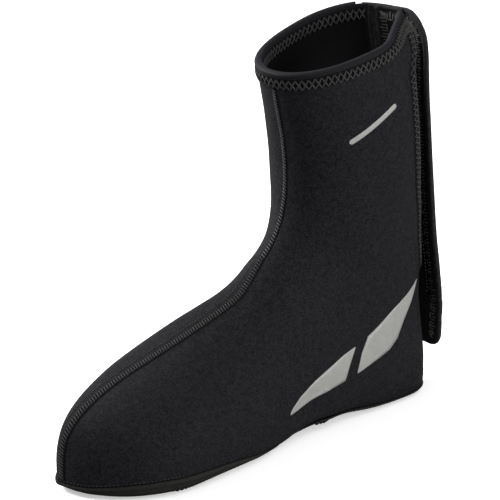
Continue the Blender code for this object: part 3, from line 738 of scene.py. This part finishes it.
def makeUpper():
    c = upperCut
    heelSteps = np.linspace(0, 1, c["heelRows"], endpoint=False)
    t = np.concatenate([
        np.linspace(0, 1, c["toeRows"], endpoint=False),
        np.linspace(1, 2, c["footRows"], endpoint=False),
        2 + (tHeel - 2) * heelSteps * (1.5 - 0.5 * heelSteps),
        tHeel - 0.006 * 0.5 ** np.arange(9),
        np.linspace(tHeel, tSlit, c["lowSlitRows"], endpoint=False),
        np.linspace(tSlit, c["rimFrom"], c["shaftRows"], endpoint=False),
        np.linspace(c["rimFrom"], 4, c["rimRows"] + 1)])
    out, inner = np.full(len(t), math.pi), np.full(len(t), math.pi)
    low = t < tHeel - 1e-9
    out[low], inner[low] = lowTurn(t[low], 1), lowTurn(t[low], -1)
    high = t > tSlit
    out[high], inner[high] = math.pi - slitOpen(t[high]), math.pi - slitOpen(t[high], 1)
    rows, cols = len(t), c["columns"] + 1
    share = np.linspace(0, 1, cols)
    turn = -inner[:, None] + (out + inner)[:, None] * share
    base = skinAt(np.repeat(t, cols), turn.ravel())
    outer, n = onSkin(base, 0.0)
    inside = outer - n * last["wall"]
    faces = gridFaces(rows, cols) + gridFaces(rows, cols, rows * cols, True)
    closed = (t >= tHeel - 1e-9) & (t <= tSlit + 1e-9)
    shift = rows * cols
    for i in range(rows - 1):
        if not (closed[i] and closed[i + 1]):
            a, b = i * cols, (i + 1) * cols
            faces.append([a, b, b + shift, a + shift])
            a, b = a + cols - 1, b + cols - 1
            faces.append([b, a, a + shift, b + shift])
    top = (rows - 1) * cols
    for j in range(cols - 1):
        faces.append([top + j, top + j + 1, top + j + 1 + shift, top + j + shift])
    lined = np.concatenate([np.zeros(shift, bool), np.ones(shift, bool)])
    piece = makePiece("upperShell", np.concatenate([outer, inside]), faces, neoprene, ["upper"],
                      uv=np.stack([lined, lined], 1).astype(float))
    piece.data.materials.append(lining)
    tag = np.empty(len(piece.data.loops) * 2)
    piece.data.uv_layers[0].data.foreach_get("uv", tag)
    tag = tag[::2]
    for face in piece.data.polygons:
        if tag[face.loop_start:face.loop_start + face.loop_total].mean() > 0.9:
            face.material_index = 1
    piece.data.uv_layers.remove(piece.data.uv_layers[0])
    return piece


makeUpper()

# collar hem: binding folded over the edge, with a near-black ground under two rows of zigzag, painted shade
# in the gaps between the threads
hem = {"innerEnd": 0.45, "insideEnd": 0.33, "turnsFrom": 0.78, "columns": 320, "depth": 0.0084,
       "pitch": 0.0076, "thread": 0.00060, "rowTop": 0.0025, "rowLow": 0.0084}
# depth under the edge and height over the cloth, both in mm, from the lower edge up to the rim
hemProfile = np.array([(7.4, 0.05), (7.3, 0.35), (6.9, 0.50), (5.5, 0.56), (3.6, 0.56), (2.4, 0.50),
                       (1.9, 0.42), (1.6, 0.56), (1.2, 0.70), (0.6, 0.74), (0.0, 0.70)]) * 0.001


# turn of a place on the collar: share 0 at its inner end, 1 at the outer panel's free edge
def hemTurn(share, t, innerEnd):
    reach = 2 * math.pi - innerEnd - slitOpen(4.0)
    gone = slitOpen(t) - slitOpen(4.0)
    late = easeIn((share - hem["turnsFrom"]) / (1 - hem["turnsFrom"]))
    return innerEnd - math.pi + reach * share - late * gone


def collarTable():
    share = np.linspace(0, 1, 400)
    turn = hemTurn(share, 4.0, hem["innerEnd"])
    top, lower = skinAt(4.0, turn), skinAt(3.95, turn)
    far = np.concatenate([[0], np.cumsum(np.linalg.norm(np.diff(top, axis=0), axis=1))])
    rate = 0.05 / np.linalg.norm(top - lower, axis=1)
    return {"share": share, "far": far, "rate": rate, "length": far[-1]}


collar = collarTable()


def onHem(innerEnd, s, depth, lift):
    s, depth, lift = np.broadcast_arrays(np.asarray(s, float), depth, lift)
    shape = s.shape
    s, depth, lift = s.ravel(), depth.ravel(), lift.ravel()
    t = 4 - depth * np.interp(s, collar["far"], collar["rate"])
    turn = hemTurn(np.interp(s, collar["far"], collar["share"]), t, innerEnd)
    p, n = onSkin(skinAt(t, turn), lift)
    return p.reshape(*shape, 3), n.reshape(*shape, 3)


outsideHem, insideHem = partial(onHem, hem["innerEnd"]), partial(onHem, hem["insideEnd"])


# gives the faces between two columns of a slab's grid a second material
def groundFaces(piece, rows, cols, first, last, material):
    piece.data.materials.append(material)
    for k, face in enumerate(piece.data.polygons):
        if k < (rows - 1) * (cols - 1) and first <= k % (cols - 1) < last:
            face.material_index = 1


def makeCollarHem():
    s = np.linspace(0, collar["length"], hem["columns"])
    outer = [outsideHem(s, d, h)[0] for d, h in hemProfile]
    top, n = outsideHem(s, 0.0, 0.0)
    up = top - outsideHem(s, 0.002, 0.0)[0]
    up /= np.linalg.norm(up, axis=1)[:, None]
    r = last["wall"] / 2 + 0.0009
    bend = [top - n * last["wall"] / 2 + n * r * math.cos(w) + up * r * 0.75 * math.sin(w)
            for w in np.linspace(0.15, math.pi - 0.15, 9)]
    inner = [insideHem(s, d, -last["wall"] - h)[0] for d, h in hemProfile[::-1]]
    face = np.stack(outer + bend + inner, 1)
    core = outsideHem(s, hem["depth"] * 0.5, -last["wall"] / 2)[0]
    back = face + (core[:, None] - face) * 0.06
    piece = makeSlab("collarHem", face, back, hemFabric, ["collar_hem"])
    cols = face.shape[1]
    # near-black bands under both zigzag rows: painted shade between the threads
    groundFaces(piece, len(s), cols, 1, 7, paintedShadeStitchGround)
    groundFaces(piece, len(s), cols, cols - 8, cols - 2, paintedShadeStitchGround)
    stop, c = collar["length"] - 0.001, hem
    faces = ((outsideHem, 0.00066, 0.0004), (insideHem, -last["wall"] - 0.00066, -0.0004))
    runs = [zigzag(place, 0.001, stop, c["pitch"], c["rowTop"], c["rowLow"], lift, arch, phase)
            for phase in (0, 1) for place, lift, arch in faces]
    makeThreads("hemStitches", runs, hem["thread"], seamThread)


makeCollarHem()

# front seam: a flatlock over the ridge, wide and braided on the foot, a narrow ladder up the shaft
frontSeam = {"footWidth": 0.0046, "shaftWidth": 0.0030, "pitch": 0.0019, "thread": 0.00042, "turn": 0.20,
             "secondRow": 0.0048, "toeFoot": 0.0085, "ladderFrom": 0.105}


def seamLine():
    down = np.linspace(frontSeam["toeFoot"], toeAxis[2] - 0.0015, 14)
    start = np.stack([np.full(14, toeAxis[0] + 0.0005), np.full(14, toeMid), down], 1)
    under = castTo(start, np.tile((0.0, -1.0, 0.0), (14, 1)))
    top = 4 - (hem["depth"] + 0.0006) / (last["shaftHeight"] - heelAxis[2])
    t = np.concatenate([np.linspace(0.10, 1, 30), np.linspace(1.02, 3, 110), np.linspace(3.02, top, 60)])
    turn = frontSeam["turn"] * np.where(t < 1, 1, np.maximum(1 - (t - 1) / 1.3, 0))
    points = np.concatenate([under, skinAt(t, turn)])
    for _ in range(6):
        points[1:-1] = (points[:-2] + points[2:]) / 4 + points[1:-1] / 2
    return lineOn(castTo(points - outwardAt(points) * 0.004, outwardAt(points), 0.010), (-1, 0, 0))


ridge = seamLine()


def seamWidth(s):
    z = along(ridge, "at", np.ravel(s))[:, 2]
    f = easeIn((z - 0.088) / 0.035)
    return (frontSeam["footWidth"] * (1 - f) + frontSeam["shaftWidth"] * f).reshape(np.shape(s))


def makeFrontSeam():
    c = frontSeam
    s = np.linspace(0, ridge["length"], 420)[:, None]
    share = np.array([-1.0, -0.93, -0.7, -0.35, -0.08, 0.0, 0.08, 0.35, 0.7, 0.93, 1.0])
    rise = np.array([0.05, 0.35, 0.46, 0.44, 0.34, 0.22, 0.34, 0.44, 0.46, 0.35, 0.05]) * 0.001
    half = seamWidth(s) / 2
    face = onLine(ridge, s, share * half, np.broadcast_to(rise, (420, 11)))[0]
    back = onLine(ridge, s, share * half, np.full((420, 11), 0.00002))[0]
    # the whole seam strip is near-black: painted shade between the thread loops
    makeSlab("frontSeam", face, back, paintedShadeStitchGround, ["front_seam"])
    runs = {True: [], False: []}
    f = np.linspace(-1, 1, 9)
    for at in np.arange(0.001, ridge["length"] - 0.001, c["pitch"]):
        reach = seamWidth(np.full(9, at)) / 2 * 0.80
        onShaft = along(ridge, "at", np.array([at]))[0, 2] > c["ladderFrom"]
        runs[onShaft].append(onLine(ridge, at + 0.0007 * f, f * reach, 0.00036 + 0.00030 * (1 - f * f)))
    # loops up the shaft take the brighter thread, a painted highlight; the braid on the foot keeps the plain
    # thread
    makeThreads("seamBraid", runs[False], c["thread"], seamThread)
    makeThreads("seamLadder", runs[True], c["thread"], paintedHighlightLadderThread)
    stop = ridge["far"][np.argmax(ridge["at"][:, 2] > 0.100)]
    row = dashes(partial(onLine, ridge), 0.030, stop, 0.0023, 0.0014, c["secondRow"], 0.00028)
    makeThreads("secondStitchRow", row, 0.00024, seamThread)


makeFrontSeam()

# rear margin of the outer panel, a stitched binding along its free edge
margin = {"width": 0.0080, "pitch": 0.0070, "thread": 0.00052}


def marginLine():
    t = np.linspace(tSlit + (4 - tSlit) * 0.02, 4 - 0.0002, 220)
    points = skinAt(t, math.pi - slitOpen(t))
    for _ in range(30):
        points[1:-1] = (points[:-2] + points[2:]) / 4 + points[1:-1] / 2
    return lineOn(points, (1, 0, 0)), t


edgeLine, edgeTurns = marginLine()


def makeSlitMargin():
    c = margin
    under = 4 - (hem["depth"] + 0.0004) * collar["rate"][-1]
    stop = np.interp(under, edgeTurns, edgeLine["far"])
    s = np.linspace(0, stop, 200)
    fade = easeIn(s / 0.03)
    wide, high = c["width"] * (0.35 + 0.65 * fade), 0.001 * (0.3 + 0.7 * fade)
    profile = ((1.0, 0.05), (0.97, 0.50), (0.90, 0.62), (0.6, 0.60), (0.3, 0.60), (0.12, 0.66), (0.02, 0.66))
    rows = [onLine(edgeLine, s, wide * f, high * h)[0] for f, h in profile]
    at, n = onLine(edgeLine, s, 0.0, 0.0)
    side = along(edgeLine, "side", s)
    bend = [at - side * 0.0005 * math.sin(w) + n * (0.0006 - 0.0018 * (1 - math.cos(w)))
            for w in np.linspace(0.3, math.pi - 0.1, 6)]
    face = np.stack(rows + bend, 1)
    back = face - along(edgeLine, "out", s)[:, None] * 0.0003
    piece = makeSlab("slitMargin", face, back, hemFabric, ["slit_margin"])
    # near-black strip under the zigzag: painted shade between the threads
    groundFaces(piece, *face.shape[:2], 1, 5, paintedShadeStitchGround)
    runs = [zigzag(partial(onLine, edgeLine), 0.022, stop - 0.001, c["pitch"], 0.0014, c["width"] - 0.0002,
                   0.00070, 0.0004, phase) for phase in (0, 1)]
    makeThreads("marginStitches", runs, c["thread"], seamThread)


makeSlitMargin()

# sole: herringbone fabric, drawn up at the sides, with its seam line and rolled edge
sole = {"gap": 0.0001, "thick": 0.0010, "cleat": (0.79, -0.02, 0.062, 0.036),
        "heel": (0.145, 0.0, 0.040, 0.032)}
# share along the foot from the heel, height of the fabric's side band over the underside, in mm
bandRows = np.array([(0.0, 2.2), (0.10, 2.4), (0.22, 2.2), (0.36, 1.4), (0.46, 0.9), (0.52, 1.6),
                     (0.56, 3.2), (0.61, 4.7), (0.66, 6.1), (0.70, 7.0), (0.76, 8.0), (0.82, 8.6),
                     (0.88, 8.9), (0.93, 7.8), (0.97, 5.6), (0.985, 4.4), (1.0, 3.6)])


def bandAt(y):
    return np.interp(alongOf(y), bandRows[:, 0], bandRows[:, 1]) * 0.001


def soleColumns():
    toe = np.array((toeAxis[0], toeMid))
    heel = np.array((0.0, heelBack - last["heelRound"] * last["footLength"]))
    centres, ways = [], []
    for k in range(44):
        a = math.pi / 2 * k / 44
        centres.append(toe)
        ways.append((math.sin(a), -math.cos(a)))
    for k in range(120):
        centres.append(toe + (heel - toe) * k / 120)
        ways.append((1.0, 0.0))
    for k in range(37):
        a = math.pi / 2 * k / 36
        centres.append(heel)
        ways.append((math.cos(a), math.sin(a)))
    back = [(c, (-w[0], w[1])) for c, w in list(zip(centres, ways))[-2:0:-1]]
    centres += [c for c, w in back]
    ways += [w for c, w in back]
    return np.array(centres), np.array(ways)


def soleEdge(share):
    centres, ways = soleColumns()
    flat = np.concatenate([ways, np.zeros((len(ways), 1))], 1)
    z = undersideAt(centres[:, 1]) + bandAt(centres[:, 1]) * share
    for _ in range(4):
        edge = castTo(np.concatenate([centres, z[:, None]], 1), flat)
        z = undersideAt(edge[:, 1]) + bandAt(edge[:, 1]) * share
    return edge, centres


def makeSole():
    c = sole
    rows, normals, lifts = [], [], []
    shares = (1.0, 0.97, 0.90, 0.72, 0.52, 0.34, 0.20, 0.10)
    rises = (0.0, 0.55, 0.95, 1.0, 1.0, 1.0, 1.0, 1.0)
    for share, rise in zip(shares, rises):
        edge, centres = soleEdge(share)
        rows.append(edge)
        normals.append(outwardAt(edge))
        lifts.append(rise * c["thick"])
    down = np.tile((0.0, 0.0, -1.0), (len(edge), 1))
    for share in (0.95, 0.88, 0.78, 0.60, 0.40, 0.20, 0.0):
        flat = edge.copy()
        flat[:, :2] = centres + (edge[:, :2] - centres) * share
        flat[:, 2] = undersideAt(flat[:, 1])
        rows.append(flat)
        normals.append(down)
        lifts.append(c["thick"] + 0.0002)
    rows, normals = np.stack(rows, 1), np.stack(normals, 1)
    lifts = np.array(lifts)[None, :, None]
    face = rows + normals * (c["gap"] + lifts)
    back = rows + normals * c["gap"] * 0.5
    count, levels = face.shape[:2]
    step = np.linalg.norm(np.diff(np.concatenate([face, face[:1]]), axis=0)[:, 4], axis=1)
    u = np.concatenate([[0], np.cumsum(step)])
    drop = np.linalg.norm(np.diff(face, axis=1), axis=2)
    v = np.concatenate([np.zeros((count, 1)), np.cumsum(drop, axis=1)], 1)
    under = np.arange(levels) >= 9
    uv = np.stack([np.broadcast_to(u[:-1, None], v.shape), v], 2)
    uv[:, under] = face[:, under, :2]
    face, back, uv = (np.concatenate([g, g[:1]]) for g in (face, back, uv))
    uv[-1, ~under, 0] = u[-1]
    rows2, cols = face.shape[:2]
    shift = rows2 * cols
    faces = gridFaces(rows2, cols) + gridFaces(rows2, cols, shift, True)
    for i in range(rows2 - 1):
        a, b = i * cols, (i + 1) * cols
        faces.append([b, a, a + shift, b + shift])
    points = np.concatenate([face.reshape(-1, 3), back.reshape(-1, 3)])
    piece = makePiece("soleFabric", points, faces, soleFabric, ["sole"],
                      np.concatenate([uv.reshape(-1, 2)] * 2), merge=0.00003)
    runs = []
    for name in ("cleat", "heel"):
        alongShare, across, length, width = c[name]
        cx, cy = across * last["ballWidth"], heelBack - alongShare * last["footLength"]
        a = np.linspace(0, 2 * math.pi, 72, endpoint=False)
        x = cx + width / 2 * np.sign(np.cos(a)) * np.abs(np.cos(a)) ** 0.8
        y = cy + length / 2 * np.sign(np.sin(a)) * np.abs(np.sin(a)) ** 0.8
        cutHole(piece, x + seat[0], y + seat[1])
        around = np.concatenate([np.arange(72), [0]])
        outline = np.stack([x, y, undersideAt(y) - c["thick"] * 0.6], 1)[around]
        runs.append((outline, np.tile((0.0, 0.0, -1.0), (73, 1))))
    makeThreads("openingEdges", runs, 0.0009, seamThread, 8, 1.0)
    return piece


def cutHole(piece, x, y):
    count = len(x)
    verts = [(a, b, -0.01) for a, b in zip(x, y)] + [(a, b, 0.02) for a, b in zip(x, y)]
    faces = [list(range(count - 1, -1, -1)), list(range(count, 2 * count))]
    faces += [[k, (k + 1) % count, count + (k + 1) % count, count + k] for k in range(count)]
    mesh = bpy.data.meshes.new("punch")
    mesh.from_pydata(verts, [], faces)
    punch = bpy.data.objects.new("punch", mesh)
    bpy.context.scene.collection.objects.link(punch)
    change = piece.modifiers.new("punch", "BOOLEAN")
    change.operation = "DIFFERENCE"
    change.solver = "EXACT"
    change.object = punch
    bpy.context.view_layer.update()
    shape = bpy.data.meshes.new_from_object(piece.evaluated_get(bpy.context.evaluated_depsgraph_get()))
    piece.modifiers.clear()
    piece.data = shape
    bpy.data.objects.remove(punch)


makeSole()


def makeSoleEdges():
    edge = soleEdge(1.0)[0]
    edge = np.concatenate([edge, edge[:1]])
    seam = lineOn(edge, (0, 0, 1))
    s = np.linspace(0, seam["length"], 900)
    p, n = onLine(seam, s, 0.0003, 0.00012)
    makeThreads("soleSeamLine", [(p, n)], 0.00034, tapePile, 6, 0.9)
    at = np.arange(0, seam["length"], 0.0024)
    at = at[np.interp(at, seam["far"], alongOf(seam["at"][:, 1])) > 0.83]
    f = np.linspace(-0.5, 0.5, 5)
    rise = 0.0003 * np.cos(math.pi * f * 0.9)
    runs = [onLine(seam, np.clip(k + 0.0013 * f, 0, seam["length"]), 0.0011, rise) for k in at]
    makeThreads("toeStitchRow", runs, 0.00030, seamThread)
    # rolled overlock along the lower edge
    low = soleEdge(0.12)[0]
    low = np.concatenate([low, low[:1]])
    hold = {"at": low, "far": np.concatenate([[0], np.cumsum(np.linalg.norm(np.diff(low, axis=0), axis=1))])}
    s = np.arange(0, hold["far"][-1], 0.00045)
    p = along(hold, "at", s)
    n = outwardAt(p)
    n[:, 2] = np.minimum(n[:, 2], -0.35)
    n /= np.linalg.norm(n, axis=1)[:, None]
    share = alongOf(p[:, 1])
    rolled = easeIn((0.86 - share) / 0.03) * easeIn((share - 0.005) / 0.03)
    arch = 1 - easeIn((share - 0.385) / 0.02) * easeIn((0.50 - share) / 0.02)
    wave = np.abs(np.sin(s / 0.0026 * math.pi + 0.9 * np.sin(s * 310)))
    size = (0.0006 + 0.00085 * wave) * rolled * (0.25 + 0.75 * arch) + 0.0002
    ahead = np.gradient(p, axis=0)
    side = np.cross(ahead, n)
    side /= np.linalg.norm(side, axis=1)[:, None]
    turn = np.linspace(0, 2 * math.pi, 7, endpoint=False)
    mid = p + n * sole["thick"] * 0.7
    ring = mid[:, None] + size[:, None, None] * (
        n[:, None] * np.cos(turn)[None, :, None] + side[:, None] * np.sin(turn)[None, :, None])
    ring[:, :, 2] = np.maximum(ring[:, :, 2], 0.0003)
    makePiece("rolledEdge", ring.reshape(-1, 3), tubeFaces(len(p), 7, True), tapePile, merge=0)


makeSoleEdges()

# rear flap that closes the slit, with a bound edge and a hook tape on the face towards the shaft
flap = {"reach": 0.022, "sewn": 0.021, "bottom": 0.024, "topRound": 0.018, "lowRound": 0.009, "thick": 0.0030,
        "gap": 0.0003, "marginLift": 0.0011, "drop": 0.0024, "seat": 0.0002, "bead": 0.0016, "step": 0.0006,
        "barPitch": 0.0059, "barFrom": 0.0037, "barTo": 0.0086, "thread": 0.00042,
        "borderX": 0.0162, "borderRound": 0.005, "borderDrop": 0.036}
flapTop = skinAt(4.0, math.pi)[0][2] - 0.001
flapMid = flap["gap"] + flap["thick"] / 2


def backPoint(x, z):
    start = np.stack([x, np.full(len(x), shaftMid), z], 1)
    return castTo(start, np.tile((0.0, 1.0, 0.0), (len(x), 1)))[:, 1]


def flapY(x, z):
    away = np.maximum(x, 0) / flap["reach"]
    clear = (flap["marginLift"] + flap["gap"]) * easeIn(away * 3)
    return backPoint(np.minimum(x, 0), z) + flap["seat"] + clear - flap["drop"] * away ** 2


def onFlap(x, z, depth):
    x, z, depth = (np.asarray(v, float) for v in np.broadcast_arrays(x, z, depth))
    shape = x.shape
    x, z, depth = x.ravel(), z.ravel(), depth.ravel()
    step = 0.001
    dx = np.stack([np.full(len(x), 2 * step), flapY(x + step, z) - flapY(x - step, z), np.zeros(len(x))], 1)
    dz = np.stack([np.zeros(len(x)), flapY(x, z + step) - flapY(x, z - step), np.full(len(x), 2 * step)], 1)
    n = np.cross(dz, dx)
    n /= np.linalg.norm(n, axis=1)[:, None]
    n *= np.where(n[:, 1] < 0, -1, 1)[:, None]
    p = np.stack([x, flapY(x, z), z], 1) + n * depth[:, None]
    return p.reshape(*shape, 3), n.reshape(*shape, 3)


def flapReach(z, trimmed=True):
    free = rowAt(flapRows, z / last["shaftHeight"])[0] * flap["reach"]
    if trimmed:
        over = (z - flapTop + flap["topRound"]) / flap["topRound"]
        under = (flap["bottom"] + flap["lowRound"] - z) / flap["lowRound"]
        free = free - flap["topRound"] * (1 - endRound(over, 2)) - flap["lowRound"] * (1 - endRound(under, 2))
    return free


# a path over the flap with its inward way at every place
def pathOf(places):
    step = np.linalg.norm(np.diff(places, axis=0), axis=1)
    far = np.concatenate([[0], np.cumsum(step)])
    even = np.linspace(0, far[-1], int(far[-1] / flap["step"]))
    places = np.stack([np.interp(even, far, places[:, i]) for i in (0, 1)], 1)
    ahead = np.gradient(places, axis=0)
    ways = np.stack([ahead[:, 1], -ahead[:, 0]], 1)
    return {"at": places, "way": ways / np.linalg.norm(ways, axis=1)[:, None], "far": even}


# from the sewn edge over the top, down the free side and back
def flapOutline():
    c, quarter = flap, np.linspace(0, math.pi / 2, 40)
    zTop = flapTop - c["topRound"] + c["topRound"] * np.cos(quarter)
    zLow = c["bottom"] + c["lowRound"] - c["lowRound"] * np.sin(quarter)
    zSide = np.linspace(zTop[-1], zLow[0], 200)[1:-1]
    z = np.concatenate([[flapTop], zTop, zSide, zLow, [c["bottom"]]])
    xTop = flapReach(zTop, False) - c["topRound"] * (1 - np.sin(quarter))
    xLow = flapReach(zLow, False) - c["lowRound"] * (1 - np.cos(quarter))
    x = np.concatenate([[-c["sewn"]], xTop, flapReach(zSide, False), xLow, [-c["sewn"]]])
    return pathOf(np.stack([x, z], 1))


# the bound inner border that shows inside the shaft: up its left side and along the top
def innerBorder():
    c, quarter = flap, np.linspace(math.pi, math.pi / 2, 20)
    r, x = c["borderRound"], -c["borderX"]
    corner = np.stack([x + r + r * np.cos(quarter), flapTop - r + r * np.sin(quarter)], 1)
    return pathOf(np.concatenate([[(x, flapTop - c["borderDrop"])], corner, [(0.004, flapTop)]]))


def onPath(path, s, inset, depth):
    at, way = (np.stack([np.interp(s, path["far"], path[key][:, i]) for i in (0, 1)], 1)
               for key in ("at", "way"))
    at = at + way * np.reshape(inset, (-1, 1))
    return onFlap(at[:, 0], at[:, 1], depth)


outline, border = flapOutline(), innerBorder()


def makeBead(name, path, mid, half):
    s = np.linspace(0, path["far"][-1], int(path["far"][-1] / 0.0006))
    w = np.linspace(0, 2 * math.pi, 14, endpoint=False)
    rings = [onPath(path, s, flap["bead"] * (1 - math.cos(a)), mid + half * math.sin(a))[0] for a in w]
    points = np.stack(rings, 1).reshape(-1, 3)
    makePiece(name, points, tubeFaces(len(s), 14), paintedLightFlapFabric, merge=0)


# bars across the border with two short prongs each, and the spine that joins them
def barStitches(path, start, end, depth):
    runs = []
    f = np.linspace(0, 1, 7)
    near, far = flap["barFrom"], flap["barTo"]
    arch = depth - 0.0003 * np.sin(math.pi * f)
    for s in np.arange(start, end, flap["barPitch"]):
        for shift, reach in ((0.0, 1.0), (0.0019, 0.75), (-0.0019, 0.75)):
            runs.append(onPath(path, np.full(7, s + shift), far + (near - far) * f * reach, arch))
        runs.append(onPath(path, s + 0.0050 * (f - 0.5), np.full(7, far), arch))
    return runs


def makeFlap():
    c = flap
    ends = np.linspace(0, 1, 9) * 0.06
    shares = np.concatenate([ends, np.linspace(0.09, 0.91, 30), 0.94 + ends])
    heights = np.concatenate([np.linspace(0, 0.03, 8), np.linspace(0.04, 0.87, 90),
                              1 - np.linspace(0.125, 0, 26)])
    z = c["bottom"] + (flapTop - c["bottom"]) * heights
    free = flapReach(z)
    x = -c["sewn"] + (free + c["sewn"])[:, None] * shares
    z2 = np.broadcast_to(z[:, None], x.shape)
    inset = np.minimum(np.minimum(free[:, None] - x, x + c["sewn"]),
                       np.minimum(flapTop - z2, z2 - c["bottom"]))
    f = np.clip(inset / 0.0014, 0, 1)
    half = (c["thick"] / 2 - 0.0004) * np.sqrt(np.maximum(1 - (1 - f) ** 2, 0)) + 0.00002
    back = onFlap(x, z2, flapMid - half)[0]
    face = onFlap(x, z2, flapMid + half)[0]
    # the flap uses the lighter copy of the neoprene: painted light along the rear edge
    makeSlab("closureFlap", face, back, paintedLightFlapFabric, ["closure_flap"])
    makeBead("flapBinding", outline, flapMid, 0.00155)
    makeBead("flapInnerBorder", border, 0.0009, 0.0012)
    length = outline["far"][-1]
    runs = [zigzag(partial(onPath, outline), 0.004, length - 0.004, 0.0044, c["barFrom"], c["barTo"],
                   flapMid + c["thick"] / 2 - 0.0003, 0.0003, phase) for phase in (0, 1)]
    runs += barStitches(outline, 0.030, length - 0.045, 0.00046)
    runs += barStitches(border, 0.004, border["far"][-1], 0.00046)
    makeThreads("flapStitches", runs, c["thread"], paintedLightFlapThread)


makeFlap()

tape = {"thick": 0.0010, "width": 0.0100, "inset": 0.0035, "belowTop": 0.012, "overBottom": 0.030,
        "round": 0.012, "dotPitch": 0.0021, "dotInset": 0.0108}


def makeTape():
    c = tape
    top, low = flapTop - c["belowTop"], flap["bottom"] + c["overBottom"]
    z = np.linspace(low, top, 90)
    q = np.maximum(z - top, low - z) / c["round"] + 1
    half = c["width"] / 2 * np.maximum(endRound(q, 2), 0.3)
    mid = flapReach(z) - c["inset"] - c["width"] / 2
    share = np.array([-1, -0.94, -0.8, -0.4, 0, 0.4, 0.8, 0.94, 1.0])
    rise = np.array([0.1, 0.7, 1.0, 1.0, 1.0, 1.0, 1.0, 0.7, 0.1])
    x = mid[:, None] + half[:, None] * share
    z2 = np.broadcast_to(z[:, None], x.shape)
    face = onFlap(x, z2, flap["gap"] + 0.0003 - c["thick"] * rise * 0.6)[0]
    back = onFlap(x, z2, flap["gap"] + 0.0006)[0]
    makeSlab("hookTape", face, back, tapePile, ["hook_tape"])
    runs = []
    for zz in np.arange(low + 0.004, top - 0.004, c["dotPitch"]):
        f = np.linspace(-0.5, 0.5, 4)
        x = flapReach(np.full(4, zz)) - c["dotInset"]
        runs.append(onFlap(x, zz + 0.0011 * f, -0.0001 - 0.0003 * np.cos(math.pi * f)))
    makeThreads("tapeStitches", runs, 0.00040, paintedLightFlapThread)


makeTape()

# reflective prints: shares of the foot length from the heel and of the instep height
reflectors = {"thick": 0.00018}
# matching places on a blade's two long edges: front y and z, rear y and z
rearBlade = np.array([
    (0.068, 0.725, 0.067, 0.720),
    (0.115, 0.675, 0.095, 0.610),
    (0.165, 0.625, 0.125, 0.520),
    (0.215, 0.560, 0.152, 0.420),
    (0.252, 0.515, 0.180, 0.378),
    (0.272, 0.425, 0.228, 0.348),
    (0.286, 0.312, 0.284, 0.308),
])
frontBlade = np.array([
    (0.291, 0.478, 0.290, 0.474),
    (0.325, 0.452, 0.307, 0.385),
    (0.362, 0.410, 0.322, 0.290),
    (0.412, 0.355, 0.362, 0.268),
    (0.457, 0.294, 0.420, 0.246),
    (0.488, 0.240, 0.468, 0.218),
    (0.496, 0.216, 0.494, 0.208),
])


def onSide(y, z, lift):
    start = np.stack([np.zeros(len(y)), y, z], 1)
    return onSkin(castTo(start, np.tile((1.0, 0.0, 0.0), (len(y), 1))), lift)[0]


def makePrint(name, y, z, slotNode=()):
    shape = y.shape
    face = onSide(y.ravel(), z.ravel(), 0.00004 + reflectors["thick"]).reshape(*shape, 3)
    back = onSide(y.ravel(), z.ravel(), 0.00001).reshape(*shape, 3)
    return makeSlab(name, face, back, reflectivePrint, slotNode)


def makeReflector(name, blade, node):
    fine = np.linspace(0, len(blade) - 1, (len(blade) - 1) * 8 + 1)
    rows = np.stack([np.interp(fine, np.arange(len(blade)), blade[:, i]) for i in range(4)], 1)
    f = np.linspace(0, 1, 9)
    y = rows[:, [0]] + (rows[:, [2]] - rows[:, [0]]) * f
    z = rows[:, [1]] + (rows[:, [3]] - rows[:, [1]]) * f
    makePrint(name, heelBack - y * last["footLength"], z * last["instepHeight"], [node])


makeReflector("rearReflector", rearBlade, "reflector_rear")
makeReflector("frontReflector", frontBlade, "reflector_front")


# one plain bar high on the side
def makeReflectiveBar():
    bar = {"from": (0.0500, 0.1715), "to": (0.0830, 0.1885), "half": 0.0016}
    start, way = np.array(bar["from"]), np.array(bar["to"]) - np.array(bar["from"])
    length = np.linalg.norm(way)
    way = way / length
    across = np.array((-way[1], way[0]))
    u = np.concatenate([bar["half"] * (1 - np.cos(np.linspace(0, math.pi / 2, 9))),
                        np.linspace(bar["half"], length - bar["half"], 30)[1:-1],
                        length - bar["half"] * (1 - np.cos(np.linspace(math.pi / 2, 0, 9)))])
    edge = np.minimum(u, length - u)
    half = bar["half"] * np.sqrt(np.clip(1 - (1 - np.minimum(edge / bar["half"], 1)) ** 2, 0, 1)) + 0.00002
    f = np.linspace(-1, 1, 7)
    yz = start + u[:, None, None] * way + (half[:, None] * f)[:, :, None] * across
    makePrint("reflectiveBar", yz[:, :, 0], yz[:, :, 1])


makeReflectiveBar()
